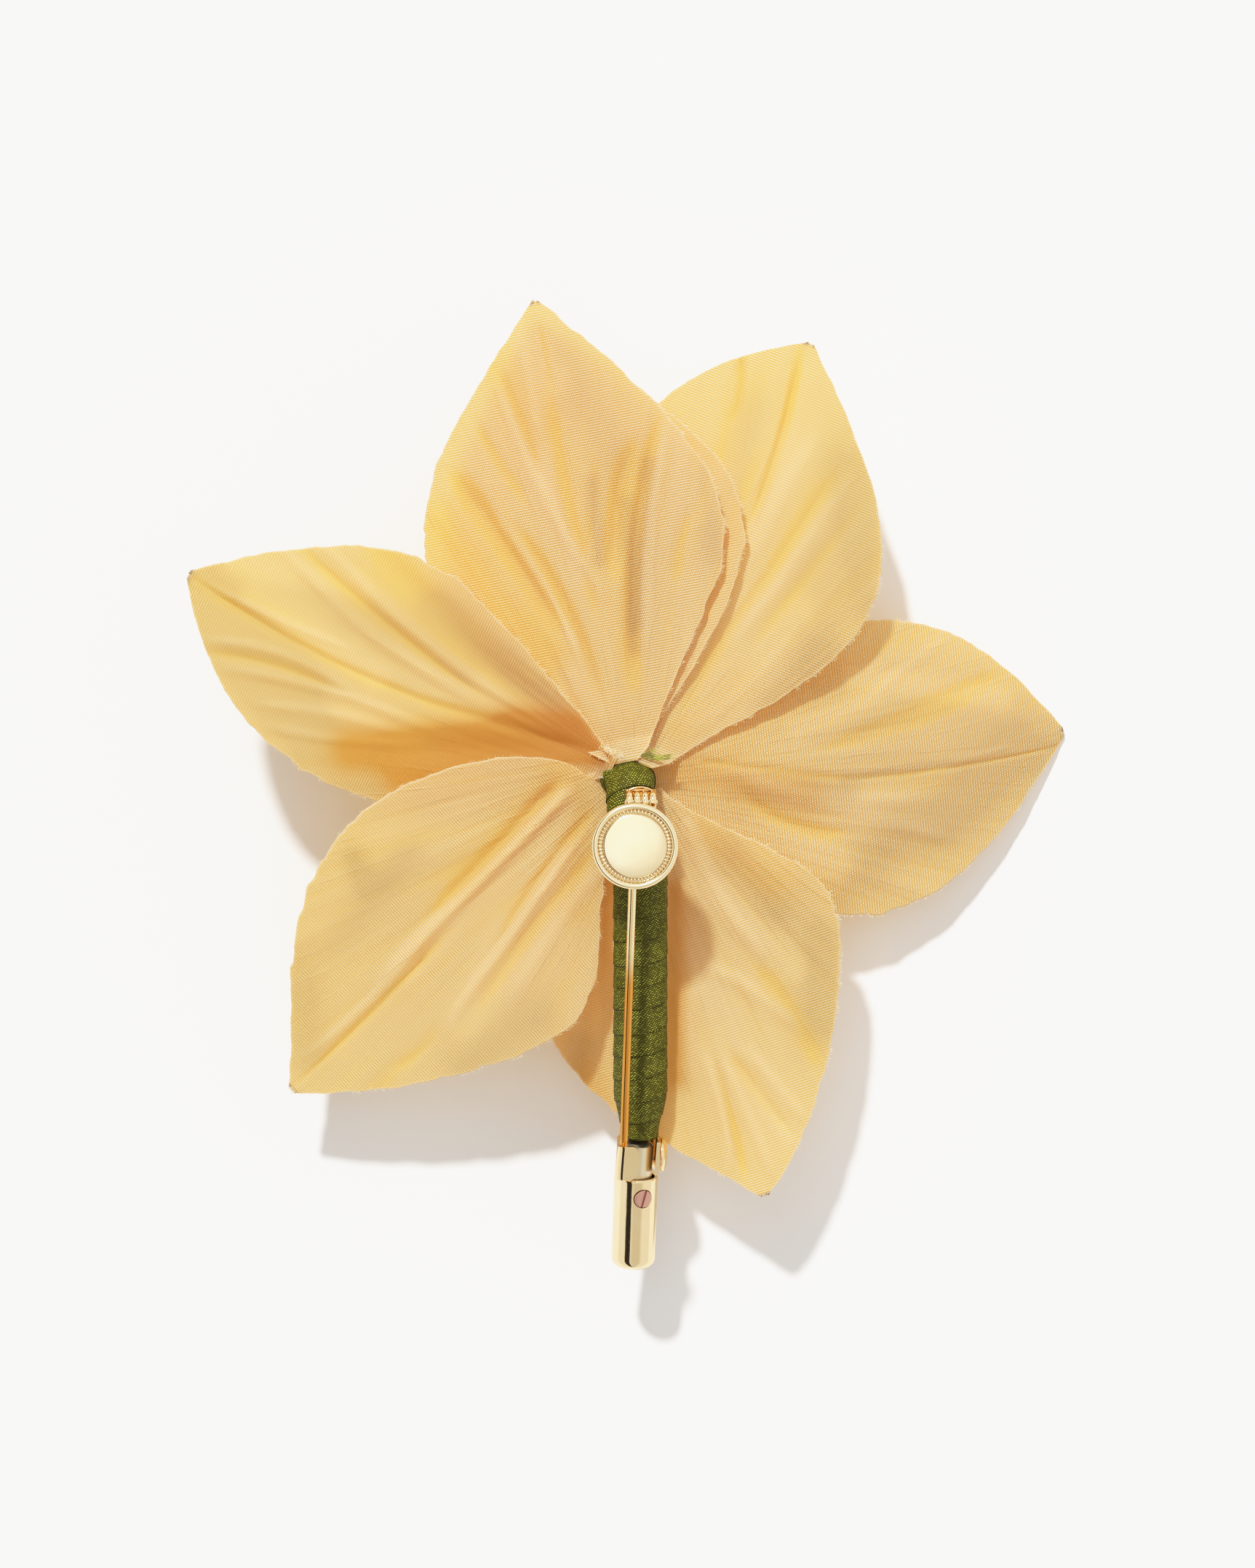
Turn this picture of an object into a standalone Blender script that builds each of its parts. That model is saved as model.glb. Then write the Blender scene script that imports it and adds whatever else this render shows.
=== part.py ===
"""Fabric daffodil brooch lying face down: six petals and a second layer under the top one, trumpet with stamens,
ribbon-wrapped stem bent at the neck, hinged pin with a round medallion, hooked catch, end sleeve with set screw.
Lengths below are in millimetres. X is to the right, Y away from the stem's end, Z up."""

import math
from math import comb

import bmesh
import bpy
import numpy as np
from mathutils import Matrix, Vector

for old in list(bpy.data.objects):
    bpy.data.objects.remove(old, do_unlink=True)

MM = 0.001
PLACE = (-0.49, 0.39, -0.15)
FLOOR = -PLACE[2]

# neck of the stem, where all petals start
NECK = (0.3, 0.4)
ROOT_RADIUS = 3.45
TIP_HALF = 0.55
PETAL_THICK = 0.6
PETAL_BASE = 17.0
LAYER = 0.68

# Each petal: direction and length of its middle line, layer at the neck, tip height, bow of the middle line,
# how far its left and right edges rise, half widths at the root, and the handles of the two edge curves.
PETALS = {
    "petal_right": dict(
        azimuth=6.3, length=52.0, layer=0, tip=0.5, bow=1.6, lift=(-1.2, -2.2), root=(2.7, 1.5),
        left=((12.1, 15.4), (28.7, 16.6), (38.7, 21.2)),
        right=((14.3, 18.7), (27.6, 23.9), (37.0, 20.0)),
    ),
    "petal_upper_right": dict(
        azimuth=67.6, length=55.5, layer=1, tip=15.2, bow=-0.6, lift=(-2.2, -0.9), root=(1.3, 3.3),
        left=((25.1, 14.7), (28.1, 20.4), (46.0, 18.1)),
        right=((18.5, 13.9), (28.6, 27.3), (40.1, 17.9)),
    ),
    "petal_bottom": dict(
        azimuth=-72.0, length=51.3, layer=1, tip=14.0, bow=-1.1, lift=(0.2, -6.2), root=(3.9, 3.9),
        left=((22.5, 21.4), (12.7, 22.1), (40.3, 16.3)),
        right=((3.6, 17.9), (29.7, 26.4), (34.8, 15.4)),
    ),
    "petal_top_under": dict(
        azimuth=101.6, length=55.1, layer=2, tip=17.9, bow=-0.6, lift=(-1.6, -0.4), root=(3.0, 2.3),
        left=((13.0, 14.6), (33.4, 19.9), (34.3, 17.5)),
        right=((18.0, 15.5), (28.2, 29.3), (37.8, 16.6)),
    ),
    "petal_top": dict(
        azimuth=101.2, length=57.1, layer=3, tip=19.6, bow=0.2, lift=(-1.4, 0.2), root=(3.2, 2.8),
        left=((10.6, 13.4), (34.4, 28.9), (40.2, 15.7)),
        right=((24.3, 15.2), (24.5, 22.5), (37.1, 17.2)),
    ),
    "petal_left": dict(
        azimuth=155.0, length=56.5, layer=4, tip=25.8, bow=-1.2, lift=(-1.6, 0.3), root=(1.3, 2.1),
        left=((20.9, 18.5), (28.2, 14.4), (43.8, 20.1)),
        right=((28.5, 14.2), (30.2, 13.8), (38.1, 16.7)),
    ),
    "petal_lower_left": dict(
        azimuth=-137.7, length=54.0, layer=5, tip=11.2, bow=0.8, lift=(-0.3, 2.6), root=(1.3, 3.9),
        left=((25.9, 17.4), (13.8, 22.4), (40.7, 14.4)),
        right=((3.6, 14.4), (34.8, 27.3), (37.6, 16.5)),
    ),
}
ALONG, ACROSS = 18, 12

# trumpet, under the petals, with its rim on the surface
TRUMPET_TOP = 14.4
TRUMPET_RIM = 20.0
TRUMPET_THICK = 0.8
RUFFLES = 8

# stem
BEND_START = 20.3
BEND_RADIUS = 3.3
SLOPE = math.radians(13.4)
RIBBON_END_Y = -41.3
CORE_RADIUS = 0.8
PLUG_RADIUS = 1.85
BORE_GAP = 0.12

# pin, medallion, hinge
HINGE = (1.58, -2.1, 27.75)
KNUCKLE_RADIUS = 0.85
HINGE_PIN_RADIUS = 0.28
KNUCKLE_WIDTH = 0.8
KNUCKLE_PITCH = 0.9
NEEDLE_RADIUS = 0.47
NEEDLE_LEVEL = 29.35
NEEDLE_TIP_Y = -45.2
MEDALLION = (0.86, -7.18, 29.97)
MEDALLION_RADIUS = 5.0
MEDALLION_THICK = 1.5

# end sleeve, catch, rivet, set screw
SLEEVE_RADIUS = 2.6
SLEEVE_WALL = 0.42
SLEEVE_MOUTH_Y = -46.05
SLEEVE_END_Y = -57.0
CATCH_Y = (-41.65, -45.55)
STRIP = 0.42


def material(name, colour, metal=0.0, rough=0.8):
    m = bpy.data.materials.new(name)
    m.use_nodes = True
    shader = m.node_tree.nodes["Principled BSDF"]
    shader.inputs["Base Color"].default_value = (*colour, 1)
    shader.inputs["Metallic"].default_value = metal
    shader.inputs["Roughness"].default_value = rough
    return m


def keep(mesh, name, mat, origin=(0, 0, 0)):
    """One named object from a mesh in millimetres, its origin moved to the given point, in the part's own frame."""
    mesh.transform(Matrix.Translation(-Vector(origin)))
    mesh.transform(Matrix.Scale(MM, 4))
    mesh.materials.clear()
    mesh.materials.append(mat)
    obj = bpy.data.objects.new(name, mesh)
    obj.location = (Vector(origin) + Vector(PLACE)) * MM
    bpy.context.scene.collection.objects.link(obj)
    return obj


def to_mesh(bm, name):
    bmesh.ops.recalc_face_normals(bm, faces=bm.faces)
    mesh = bpy.data.meshes.new(name)
    bm.to_mesh(mesh)
    bm.free()
    return mesh


def bezier(handles, steps):
    points = np.array(handles, float)
    n = len(points) - 1
    u = np.linspace(0, 1, steps)
    return sum(comb(n, k) * (u**k * (1 - u) ** (n - k))[:, None] * points[k] for k in range(n + 1))


def half_width(petal, side, r):
    root = petal["root"][0 if side == "left" else 1]
    handles = [(ROOT_RADIUS, root), *petal[side], (petal["length"], TIP_HALF)]
    edge = bezier(handles, 400)
    return float(np.interp(r, np.maximum.accumulate(edge[:, 0]), edge[:, 1]))


def petal_height(petal, r, s):
    """Height of the cloth's middle at distance r along the petal and s to the left of its middle line."""
    t = (r - ROOT_RADIUS) / (petal["length"] - ROOT_RADIUS)
    root = PETAL_BASE + LAYER * petal["layer"]
    lift = petal["lift"][0] if s > 0 else petal["lift"][1]
    middle = root + (petal["tip"] - root) * t**1.15 + petal["bow"] * 4 * t * (1 - t)
    return middle + lift * (abs(s) / 16) ** 1.7


def petal_point(petal, r, s):
    a = math.radians(petal["azimuth"])
    x = NECK[0] + r * math.cos(a) - s * math.sin(a)
    y = NECK[1] + r * math.sin(a) + s * math.cos(a)
    return Vector((x, y, petal_height(petal, r, s)))


def solidified(mesh, name, mat, thick):
    obj = keep(mesh, name, mat)
    mod = obj.modifiers.new("thickness", "SOLIDIFY")
    mod.thickness = thick * MM
    mod.offset = 0
    return obj


def petal_object(name, mat):
    petal = PETALS[name]
    bm = bmesh.new()
    bmesh.ops.create_grid(bm, x_segments=ALONG, y_segments=ACROSS, size=0.5)
    for v in bm.verts:
        t, u = v.co.x + 0.5, v.co.y * 2
        t = 0.5 - 0.5 * math.cos(math.pi * t) if t > 0.5 else t
        r = ROOT_RADIUS + t * (petal["length"] - ROOT_RADIUS)
        s = u * half_width(petal, "left" if u > 0 else "right", r)
        v.co = petal_point(petal, r, s)
    bmesh.ops.triangulate(bm, faces=bm.faces)
    return solidified(to_mesh(bm, name), name, mat, PETAL_THICK)


def sweep(path, radii, sides, name, bore=None):
    """A round bar along a path; with a bore radius it is a tube whose two walls are joined at the ends."""
    path = [Vector(p) for p in path]
    bm = bmesh.new()
    tangents = []
    for i in range(len(path)):
        tangents.append((path[min(i + 1, len(path) - 1)] - path[max(i - 1, 0)]).normalized())
    side = Vector((1, 0, 0))

    def rings(scale):
        made = []
        for p, d, r in zip(path, tangents, scale):
            a = (side - d * side.dot(d)).normalized()
            b = d.cross(a)
            made.append([
                bm.verts.new(p + (a * math.cos(q) + b * math.sin(q)) * r)
                for q in (2 * math.pi * k / sides for k in range(sides))
            ])
        return made

    def skin(made):
        for one, two in zip(made, made[1:]):
            for k in range(sides):
                bm.faces.new((one[k], one[(k + 1) % sides], two[(k + 1) % sides], two[k]))

    outer = rings(radii)
    skin(outer)
    if bore:
        inner = rings([bore] * len(path))
        skin(inner)
        for a, b in ((outer[0], inner[0]), (outer[-1], inner[-1])):
            for k in range(sides):
                bm.faces.new((a[k], a[(k + 1) % sides], b[(k + 1) % sides], b[k]))
    else:
        bm.faces.new(outer[0])
        bm.faces.new(outer[-1])
    return to_mesh(bm, name)


def box(low, high, name):
    bm = bmesh.new()
    bmesh.ops.create_cube(bm, size=1)
    centre, size = (Vector(low) + Vector(high)) / 2, Vector(high) - Vector(low)
    for v in bm.verts:
        v.co = Vector((v.co.x * size.x, v.co.y * size.y, v.co.z * size.z)) + centre
    return to_mesh(bm, name)


def turned(profile, sides, name, matrix=Matrix()):
    """A turned piece from its half outline, from the axis out and back to the axis."""
    bm = bmesh.new()
    loops = []
    for r, z in profile:
        if r < 1e-6:
            loops.append([bm.verts.new((0, 0, z))])
        else:
            loops.append([
                bm.verts.new((r * math.cos(q), r * math.sin(q), z))
                for q in (2 * math.pi * k / sides for k in range(sides))
            ])
    for a, b in zip(loops, loops[1:]):
        for k in range(sides):
            j = (k + 1) % sides
            ring = [a[k % len(a)], a[j % len(a)], b[j % len(b)], b[k % len(b)]]
            seen = []
            for v in ring:
                if v not in seen:
                    seen.append(v)
            if len(seen) > 2:
                bm.faces.new(seen)
    bmesh.ops.remove_doubles(bm, verts=bm.verts, dist=1e-5)
    bmesh.ops.transform(bm, matrix=matrix, verts=bm.verts)
    return to_mesh(bm, name)


def joined(first, others, operation, name):
    """Boolean of millimetre meshes, worked out at once and kept as a plain mesh."""
    host = bpy.data.objects.new("host", first)
    bpy.context.scene.collection.objects.link(host)
    used = [host]
    for mesh in others:
        tool = bpy.data.objects.new("tool", mesh)
        bpy.context.scene.collection.objects.link(tool)
        used.append(tool)
        mod = host.modifiers.new("cut", "BOOLEAN")
        mod.operation, mod.solver, mod.object = operation, "EXACT", tool
    bpy.context.view_layer.update()
    graph = bpy.context.evaluated_depsgraph_get()
    result = bpy.data.meshes.new_from_object(host.evaluated_get(graph), depsgraph=graph)
    result.name = name
    for obj in used:
        bpy.data.objects.remove(obj, do_unlink=True)
    return result


def smooth_step(a, b, x):
    t = min(max((x - a) / (b - a), 0.0), 1.0)
    return t * t * (3 - 2 * t)


def stem_x(y):
    """Sideways place of the stem's middle line."""
    x = NECK[0] + 1.2 * (1 - smooth_step(-9.0, -2.5, y))
    x -= 0.5 * (1 - smooth_step(-47.0, -38.0, y))
    return x - 0.034 * max(0.0, -46.5 - y)


def stem_z(y):
    top = BEND_START + BEND_RADIUS * math.cos(SLOPE)
    start = NECK[1] - BEND_RADIUS - BEND_RADIUS * math.sin(SLOPE)
    return top - (start - y) * math.tan(SLOPE)


def stem_path(z_start, y_end, steps):
    path = [(NECK[0], NECK[1], z) for z in np.linspace(z_start, BEND_START, 4)[:-1]]
    for k in range(10):
        q = (math.pi / 2 + SLOPE) * k / 9
        y = NECK[1] - BEND_RADIUS + BEND_RADIUS * math.cos(q)
        path.append((stem_x(y), y, BEND_START + BEND_RADIUS * math.sin(q)))
    start = path[-1][1]
    for k in range(1, steps + 1):
        y = start + (y_end - start) * k / steps
        path.append((stem_x(y), y, stem_z(y)))
    return path


def ribbon_radius(point, k):
    """Collar at the neck, slimmer on the bend, full along the stem and tapering at its end, in wound steps."""
    y, z = point[1], point[2]
    if y > NECK[1] - BEND_RADIUS - 0.5:
        r = 2.95 - 0.2 * smooth_step(BEND_START, BEND_START + 2.5, z)
    else:
        r = 2.75 + 0.4 * (1 - smooth_step(-8.5, -4.0, y))
    r -= 0.95 * (1 - smooth_step(RIBBON_END_Y + 0.3, RIBBON_END_Y + 5.5, y))
    return r - (0.09 if k % 3 == 0 else 0.0)


cloth_petal = material("petal_cloth", (0.83, 0.64, 0.36))
cloth_trumpet = material("trumpet_cloth", (0.85, 0.45, 0.08))
moulded = material("stamen_moulding", (0.80, 0.62, 0.20), 0, 0.6)
core_mat = material("core_moulding", (0.45, 0.47, 0.18), 0, 0.6)
ribbon_mat = material("ribbon_satin", (0.13, 0.17, 0.03), 0, 0.4)
wire_mat = material("stem_metal", (0.80, 0.56, 0.28), 1, 0.25)
gold = material("gold_plate", (0.90, 0.68, 0.38), 1, 0.15)
copper = material("screw_copper", (0.62, 0.32, 0.22), 1, 0.35)

for petal_name in PETALS:
    petal_object(petal_name, cloth_petal)

# trumpet: a floor under the petals that curves into a cup and flares into a ruffled rim
TRUMPET_PROFILE = bezier(
    [(2.6, TRUMPET_TOP), (9.6, TRUMPET_TOP + 0.6), (8.2, 9.0), (9.4, 1.2), (12.5, -0.2), (TRUMPET_RIM, 1.0)], 13
)
bm = bmesh.new()
RIM_SIDES = 40
trumpet_rings = []
for r0, z0 in TRUMPET_PROFILE:
    flare = max(0.0, (r0 - 8.0) / (TRUMPET_RIM - 8.0))
    ring = []
    for k in range(RIM_SIDES):
        q = 2 * math.pi * (k + 0.5) / RIM_SIDES
        wave = -math.cos(RUFFLES * q)
        r = r0 + 0.7 * flare**2 * wave
        z = z0 + flare**1.5 * (0.65 + 1.5 * wave)
        ring.append(bm.verts.new((NECK[0] + r * math.cos(q), NECK[1] + r * math.sin(q), z)))
    trumpet_rings.append(ring)
for one, two in zip(trumpet_rings, trumpet_rings[1:]):
    for k in range(RIM_SIDES):
        bm.faces.new((one[k], one[(k + 1) % RIM_SIDES], two[(k + 1) % RIM_SIDES], two[k]))
centre = bm.verts.new((NECK[0], NECK[1], TRUMPET_TOP))
for k in range(RIM_SIDES):
    bm.faces.new((trumpet_rings[0][k], trumpet_rings[0][(k + 1) % RIM_SIDES], centre))
bmesh.ops.triangulate(bm, faces=bm.faces)
sheet = bpy.data.objects.new("sheet", to_mesh(bm, "sheet"))
bpy.context.scene.collection.objects.link(sheet)
mod = sheet.modifiers.new("thickness", "SOLIDIFY")
mod.thickness, mod.offset = TRUMPET_THICK, 0
graph = bpy.context.evaluated_depsgraph_get()
trumpet = bpy.data.meshes.new_from_object(sheet.evaluated_get(graph), depsgraph=graph)
bpy.data.objects.remove(sheet, do_unlink=True)
# the low points of the ruffles are pressed flat on the surface
for v in trumpet.vertices:
    v.co.z = max(v.co.z, FLOOR)
keep(trumpet, "corona", cloth_trumpet)

# stamens: six stalks with long heads round a taller middle stalk, moulded in one with their foot
foot = turned([(0, 13.85), (2.3, 13.85), (2.3, 13.2), (1.6, 12.3), (0, 12.3)], 20, "foot",
              Matrix.Translation((*NECK, 0)))
stalks = []
for k in range(6):
    q = 2 * math.pi * (k + 0.3) / 6
    out = Vector((math.cos(q), math.sin(q), 0))
    path, radii = [], []
    for j in range(9):
        t = j / 8
        path.append(Vector((*NECK, 13.2 - 8.8 * t)) + out * (1.3 + 1.5 * t**1.5))
        radii.append(0.38 if t < 0.6 else (0.65, 0.75, 0.7, 0.35)[j - 5])
    stalks.append(sweep(path, radii, 8, "stalk"))
path = [(*NECK, z) for z in (13.2, 8.0, 4.4, 3.6, 2.9, 2.5)]
stalks.append(sweep(path, [0.5, 0.5, 0.5, 0.95, 1.05, 0.6], 10, "style"))
keep(joined(foot, stalks, "UNION", "stamens"), "stamens", moulded)

# core: the plug between trumpet and stem, with a hole for the stem's metal rod
core = turned([(1.0, 14.95), (4.6, 14.95), (5.0, 15.4), (3.2, 16.45), (1.0, 16.45), (1.0, 14.95)], 24, "core",
              Matrix.Translation((*NECK, 0)))
keep(core, "flower_core", core_mat)

# stem rod and the ribbon wound over it
rod_path = stem_path(15.2, -53.0, 30)
rod_radii = []
for p in rod_path:
    rod_radii.append(PLUG_RADIUS if p[1] < RIBBON_END_Y - 0.6 else CORE_RADIUS)
keep(sweep(rod_path, rod_radii, 12, "stem_rod"), "stem_rod", wire_mat)
wrap_path = stem_path(16.6, RIBBON_END_Y, 36)
wrap_radii = [ribbon_radius(p, k) for k, p in enumerate(wrap_path)]
keep(sweep(wrap_path, wrap_radii, 20, "ribbon_wrap", bore=CORE_RADIUS + BORE_GAP), "ribbon_wrap", ribbon_mat)

# hinge: fixed leaf, hinge pin, and the moving leaf with the needle
hx, hy, hz = HINGE


def knuckle(k, name):
    x0 = hx + (k - 2) * KNUCKLE_PITCH + (KNUCKLE_PITCH - KNUCKLE_WIDTH) / 2
    turn = Matrix.Translation((x0, hy, hz)) @ Matrix.Rotation(math.pi / 2, 4, "Y")
    ring = [(HINGE_PIN_RADIUS + 0.1, 0), (KNUCKLE_RADIUS, 0), (KNUCKLE_RADIUS, KNUCKLE_WIDTH),
            (HINGE_PIN_RADIUS + 0.1, KNUCKLE_WIDTH), (HINGE_PIN_RADIUS + 0.1, 0)]
    return turned(ring, 16, name, turn), x0


plate_top = hz - KNUCKLE_RADIUS - 0.12
leaf = box((hx - 1.75, hy - 4.2, plate_top - 0.4), (hx + 1.75, hy + 1.7, plate_top), "leaf")
parts = []
for k in (1, 3):
    ring, x0 = knuckle(k, "ring")
    parts.append(ring)
    parts.append(box((x0 + 0.06, hy - 0.4, plate_top - 0.2), (x0 + KNUCKLE_WIDTH - 0.06, hy + 0.4, hz - 0.55), "leg"))
keep(joined(leaf, parts, "UNION", "hinge_base"), "hinge_base", gold)
turn = Matrix.Translation((hx - 1.9, hy, hz)) @ Matrix.Rotation(math.pi / 2, 4, "Y")
pin_shape = [(0, 0), (HINGE_PIN_RADIUS, 0), (HINGE_PIN_RADIUS, 3.8), (0, 3.8)]
keep(turned(pin_shape, 16, "hinge_pin", turn), "hinge_pin", gold)

needle_x = lambda y: 0.56 + (y + 12.3) * 1.03 / 30.6
strap = box((needle_x(-6) - 0.9, hy - 9.0, NEEDLE_LEVEL - 0.1), (needle_x(-6) + 1.1, hy - 0.3, NEEDLE_LEVEL + 0.47),
            "strap")
parts = [box((hx - 1.75, hy - 2.6, NEEDLE_LEVEL - 0.1), (hx + 0.85, hy - 0.3, NEEDLE_LEVEL + 0.47), "cross")]
for k in (0, 2):
    ring, x0 = knuckle(k, "ring")
    parts.append(ring)
    parts.append(box((x0 + 0.06, hy - 0.75, hz + 0.5), (x0 + KNUCKLE_WIDTH - 0.06, hy - 0.32, NEEDLE_LEVEL + 0.2), "leg"))
needle_path, needle_radii = [], []
bend_y = -11.9
for y in np.concatenate([np.linspace(-5.0, bend_y, 4), np.linspace(bend_y - 0.7, NEEDLE_TIP_Y, 12)]):
    drop = max(0.0, bend_y - y) * math.tan(SLOPE)
    needle_path.append((needle_x(y), y, NEEDLE_LEVEL - drop))
    needle_radii.append(NEEDLE_RADIUS * min(1.0, 0.12 + (y - NEEDLE_TIP_Y) / 4.2))
parts.append(sweep(needle_path, needle_radii, 12, "shank"))
keep(joined(strap, parts, "UNION", "pin_needle"), "pin_needle", gold, HINGE)

# medallion: raised rim, sunk ring, flat field
t = MEDALLION_THICK
face = [(0, 0), (4.6, 0), (5.0, 0.35), (5.0, t - 0.3), (4.85, t - 0.05), (4.65, t), (4.42, t - 0.05), (4.3, t - 0.28),
        (3.72, t - 0.32), (3.7, t - 0.22), (0, t - 0.22)]
keep(turned(face, 40, "medallion", Matrix.Translation(MEDALLION)), "medallion", gold, HINGE)

# catch: a bent strip that passes under the stem's rod, stands up at the left and hooks over the needle
catch_mid = sum(CATCH_Y) / 2
ax, az = stem_x(catch_mid), stem_z(catch_mid)
nz = NEEDLE_LEVEL - (bend_y - catch_mid) * math.tan(SLOPE)
line = [(ax + 2.35, az + 1.9)]
for q in np.linspace(0, -180, 11):
    line.append((ax + 2.35 * math.cos(math.radians(q)), az - 0.2 + 2.35 * math.sin(math.radians(q))))
left = ax - 2.35
hook = 0.95
line.append((left, nz - 1.0))
for q in np.linspace(180, 90, 6):
    line.append((left + hook + hook * math.cos(math.radians(q)), nz + 0.05 + hook * math.sin(math.radians(q))))
line.append((1.05, nz + 1.0))
line.append((1.35, nz + 0.8))
outline_out, outline_in = [], []
for i, (x, z) in enumerate(line):
    p, n = line[max(i - 1, 0)], line[min(i + 1, len(line) - 1)]
    dx, dz = n[0] - p[0], n[1] - p[1]
    size = math.hypot(dx, dz)
    outline_out.append((x - dz / size * STRIP / 2, z + dx / size * STRIP / 2))
    outline_in.append((x + dz / size * STRIP / 2, z - dx / size * STRIP / 2))
section = outline_out + outline_in[::-1]
bm = bmesh.new()
ends = []
for y in CATCH_Y:
    shift = (catch_mid - y) * math.tan(SLOPE)
    ends.append([
        bm.verts.new((x + stem_x(y) - ax, y - math.sin(SLOPE) * min(z - az, 2.6), z - shift)) for x, z in section
    ])
bm.faces.new(ends[0])
bm.faces.new(ends[1])
for k in range(len(section)):
    j = (k + 1) % len(section)
    bm.faces.new((ends[0][k], ends[0][j], ends[1][j], ends[1][k]))
bmesh.ops.triangulate(bm, faces=bm.faces)
keep(to_mesh(bm, "catch"), "catch", gold)

# rivet on the catch's right side
turn = Matrix.Translation((ax + 2.76, catch_mid, az + 0.1)) @ Matrix.Rotation(math.pi / 2, 4, "Y")
head = [(0, 0), (2.0, 0), (2.1, 0.15), (1.9, 0.45), (1.2, 0.72), (0, 0.8)]
keep(turned(head, 24, "catch_rivet", turn), "catch_rivet", gold)

# end sleeve: a round tube with a closed rounded end, tapped for the set screw
length = (SLEEVE_MOUTH_Y - SLEEVE_END_Y) / math.cos(SLOPE)
tilt = Matrix.Rotation(math.pi / 2 + SLOPE, 4, "X")
lean = Matrix.Rotation(math.atan(0.034), 4, "Z").inverted()
mouth = Vector((stem_x(SLEEVE_MOUTH_Y), SLEEVE_MOUTH_Y, stem_z(SLEEVE_MOUTH_Y)))
place = Matrix.Translation(mouth) @ lean @ tilt
R, inner = SLEEVE_RADIUS, SLEEVE_RADIUS - SLEEVE_WALL
tube = [(0, length), (1.5, length - 0.04), (2.2, length - 0.35), (R, length - 1.0), (R, 0.12), (R - 0.1, 0),
        (inner + 0.1, 0), (inner, 0.1), (inner, length - 1.1), (1.9, length - 1.4), (0, length - 1.5)]
sleeve = turned(tube, 32, "sleeve", place)
screw_at, screw_turn = 2.2, math.radians(-21)
screw_dir = Matrix.Rotation(screw_turn, 4, "Z") @ Matrix.Rotation(-math.pi / 2, 4, "X")
screw_place = place @ Matrix.Translation((0, 0, screw_at)) @ screw_dir
hole = turned([(0, 1.0), (1.15, 1.0), (1.15, 3.5), (0, 3.5)], 20, "hole", screw_place)
keep(joined(sleeve, [hole], "DIFFERENCE", "end_sleeve"), "end_sleeve", gold)
screw = turned([(0, PLUG_RADIUS + 0.1), (0.8, PLUG_RADIUS + 0.1), (1.05, PLUG_RADIUS + 0.3), (1.05, R + 0.02),
                (0.95, R + 0.12), (0, R + 0.12)], 20, "screw", screw_place)
slot = box((-1.5, -0.16, R - 0.2), (1.5, 0.16, R + 1), "slot")
slot.transform(screw_place @ Matrix.Rotation(math.radians(75), 4, "Z"))
keep(joined(screw, [slot], "DIFFERENCE", "set_screw"), "set_screw", copper)
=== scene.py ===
# %% [markdown]
# # A fabric daffodil brooch, dressed for a render
#
# The object is a made flower that lies face down, so we see its back: six pressed cloth petals, a green
# ribbon wound round the stem, a hinged pin with a round medallion, a hooked catch and an end sleeve.
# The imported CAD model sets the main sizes. This lesson builds the finer pieces over it, one by one.

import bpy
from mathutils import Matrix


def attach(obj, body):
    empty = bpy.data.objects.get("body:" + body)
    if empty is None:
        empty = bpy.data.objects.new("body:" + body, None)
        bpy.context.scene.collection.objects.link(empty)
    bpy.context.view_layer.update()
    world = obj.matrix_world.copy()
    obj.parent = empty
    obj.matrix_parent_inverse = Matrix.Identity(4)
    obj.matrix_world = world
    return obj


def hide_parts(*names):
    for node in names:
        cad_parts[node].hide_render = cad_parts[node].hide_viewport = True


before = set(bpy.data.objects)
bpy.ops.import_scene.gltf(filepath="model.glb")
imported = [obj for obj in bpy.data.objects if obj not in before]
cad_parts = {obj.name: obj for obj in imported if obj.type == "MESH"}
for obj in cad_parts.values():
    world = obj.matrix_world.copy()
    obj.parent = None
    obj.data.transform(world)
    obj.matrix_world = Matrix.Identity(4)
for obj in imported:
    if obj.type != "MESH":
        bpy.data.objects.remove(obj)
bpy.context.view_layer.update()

import math
from math import comb

import bmesh
import bpy
import numpy as np
from mathutils import Matrix, Vector

MM = 0.001
TURN = 2 * math.pi
PLACE = np.array([-0.49, 0.39, -0.15])
TO_PART = Matrix.Translation(PLACE * MM) @ Matrix.Scale(MM, 4)


def row(points):
    """Millimetres of the drawing to metres in the part's own frame."""
    return (np.asarray(points, float) + PLACE) * MM


# %% [markdown]
# ## Arithmetic with nodes
#
# Both materials and Geometry Nodes are trees of small sums. Written node by node they are hard to read, so a
# small class wraps an output socket and lets Python's operators add the Math nodes. Every other node comes
# from one method that takes its type, its settings and its sockets.


# %% Node helpers
class Value:
    """An output socket that can stand in a sum. Each operator adds one Math node."""

    def __init__(self, nodes, socket):
        self.nodes, self.socket = nodes, socket

    def math(self, operation, *others):
        """A Math node that takes this value first."""
        return self.nodes.add("ShaderNodeMath", {"operation": operation}, dict(enumerate((self, *others))))

    def __add__(self, other):
        return self.math("ADD", other)

    def __sub__(self, other):
        return self.math("SUBTRACT", other)

    def __rsub__(self, other):
        return self.nodes.add("ShaderNodeMath", {"operation": "SUBTRACT"}, {0: other, 1: self})

    def __mul__(self, other):
        return self.math("MULTIPLY", other)

    def __truediv__(self, other):
        return self.math("DIVIDE", other)

    def __pow__(self, other):
        return self.math("POWER", other)

    __radd__, __rmul__ = __add__, __mul__


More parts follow.
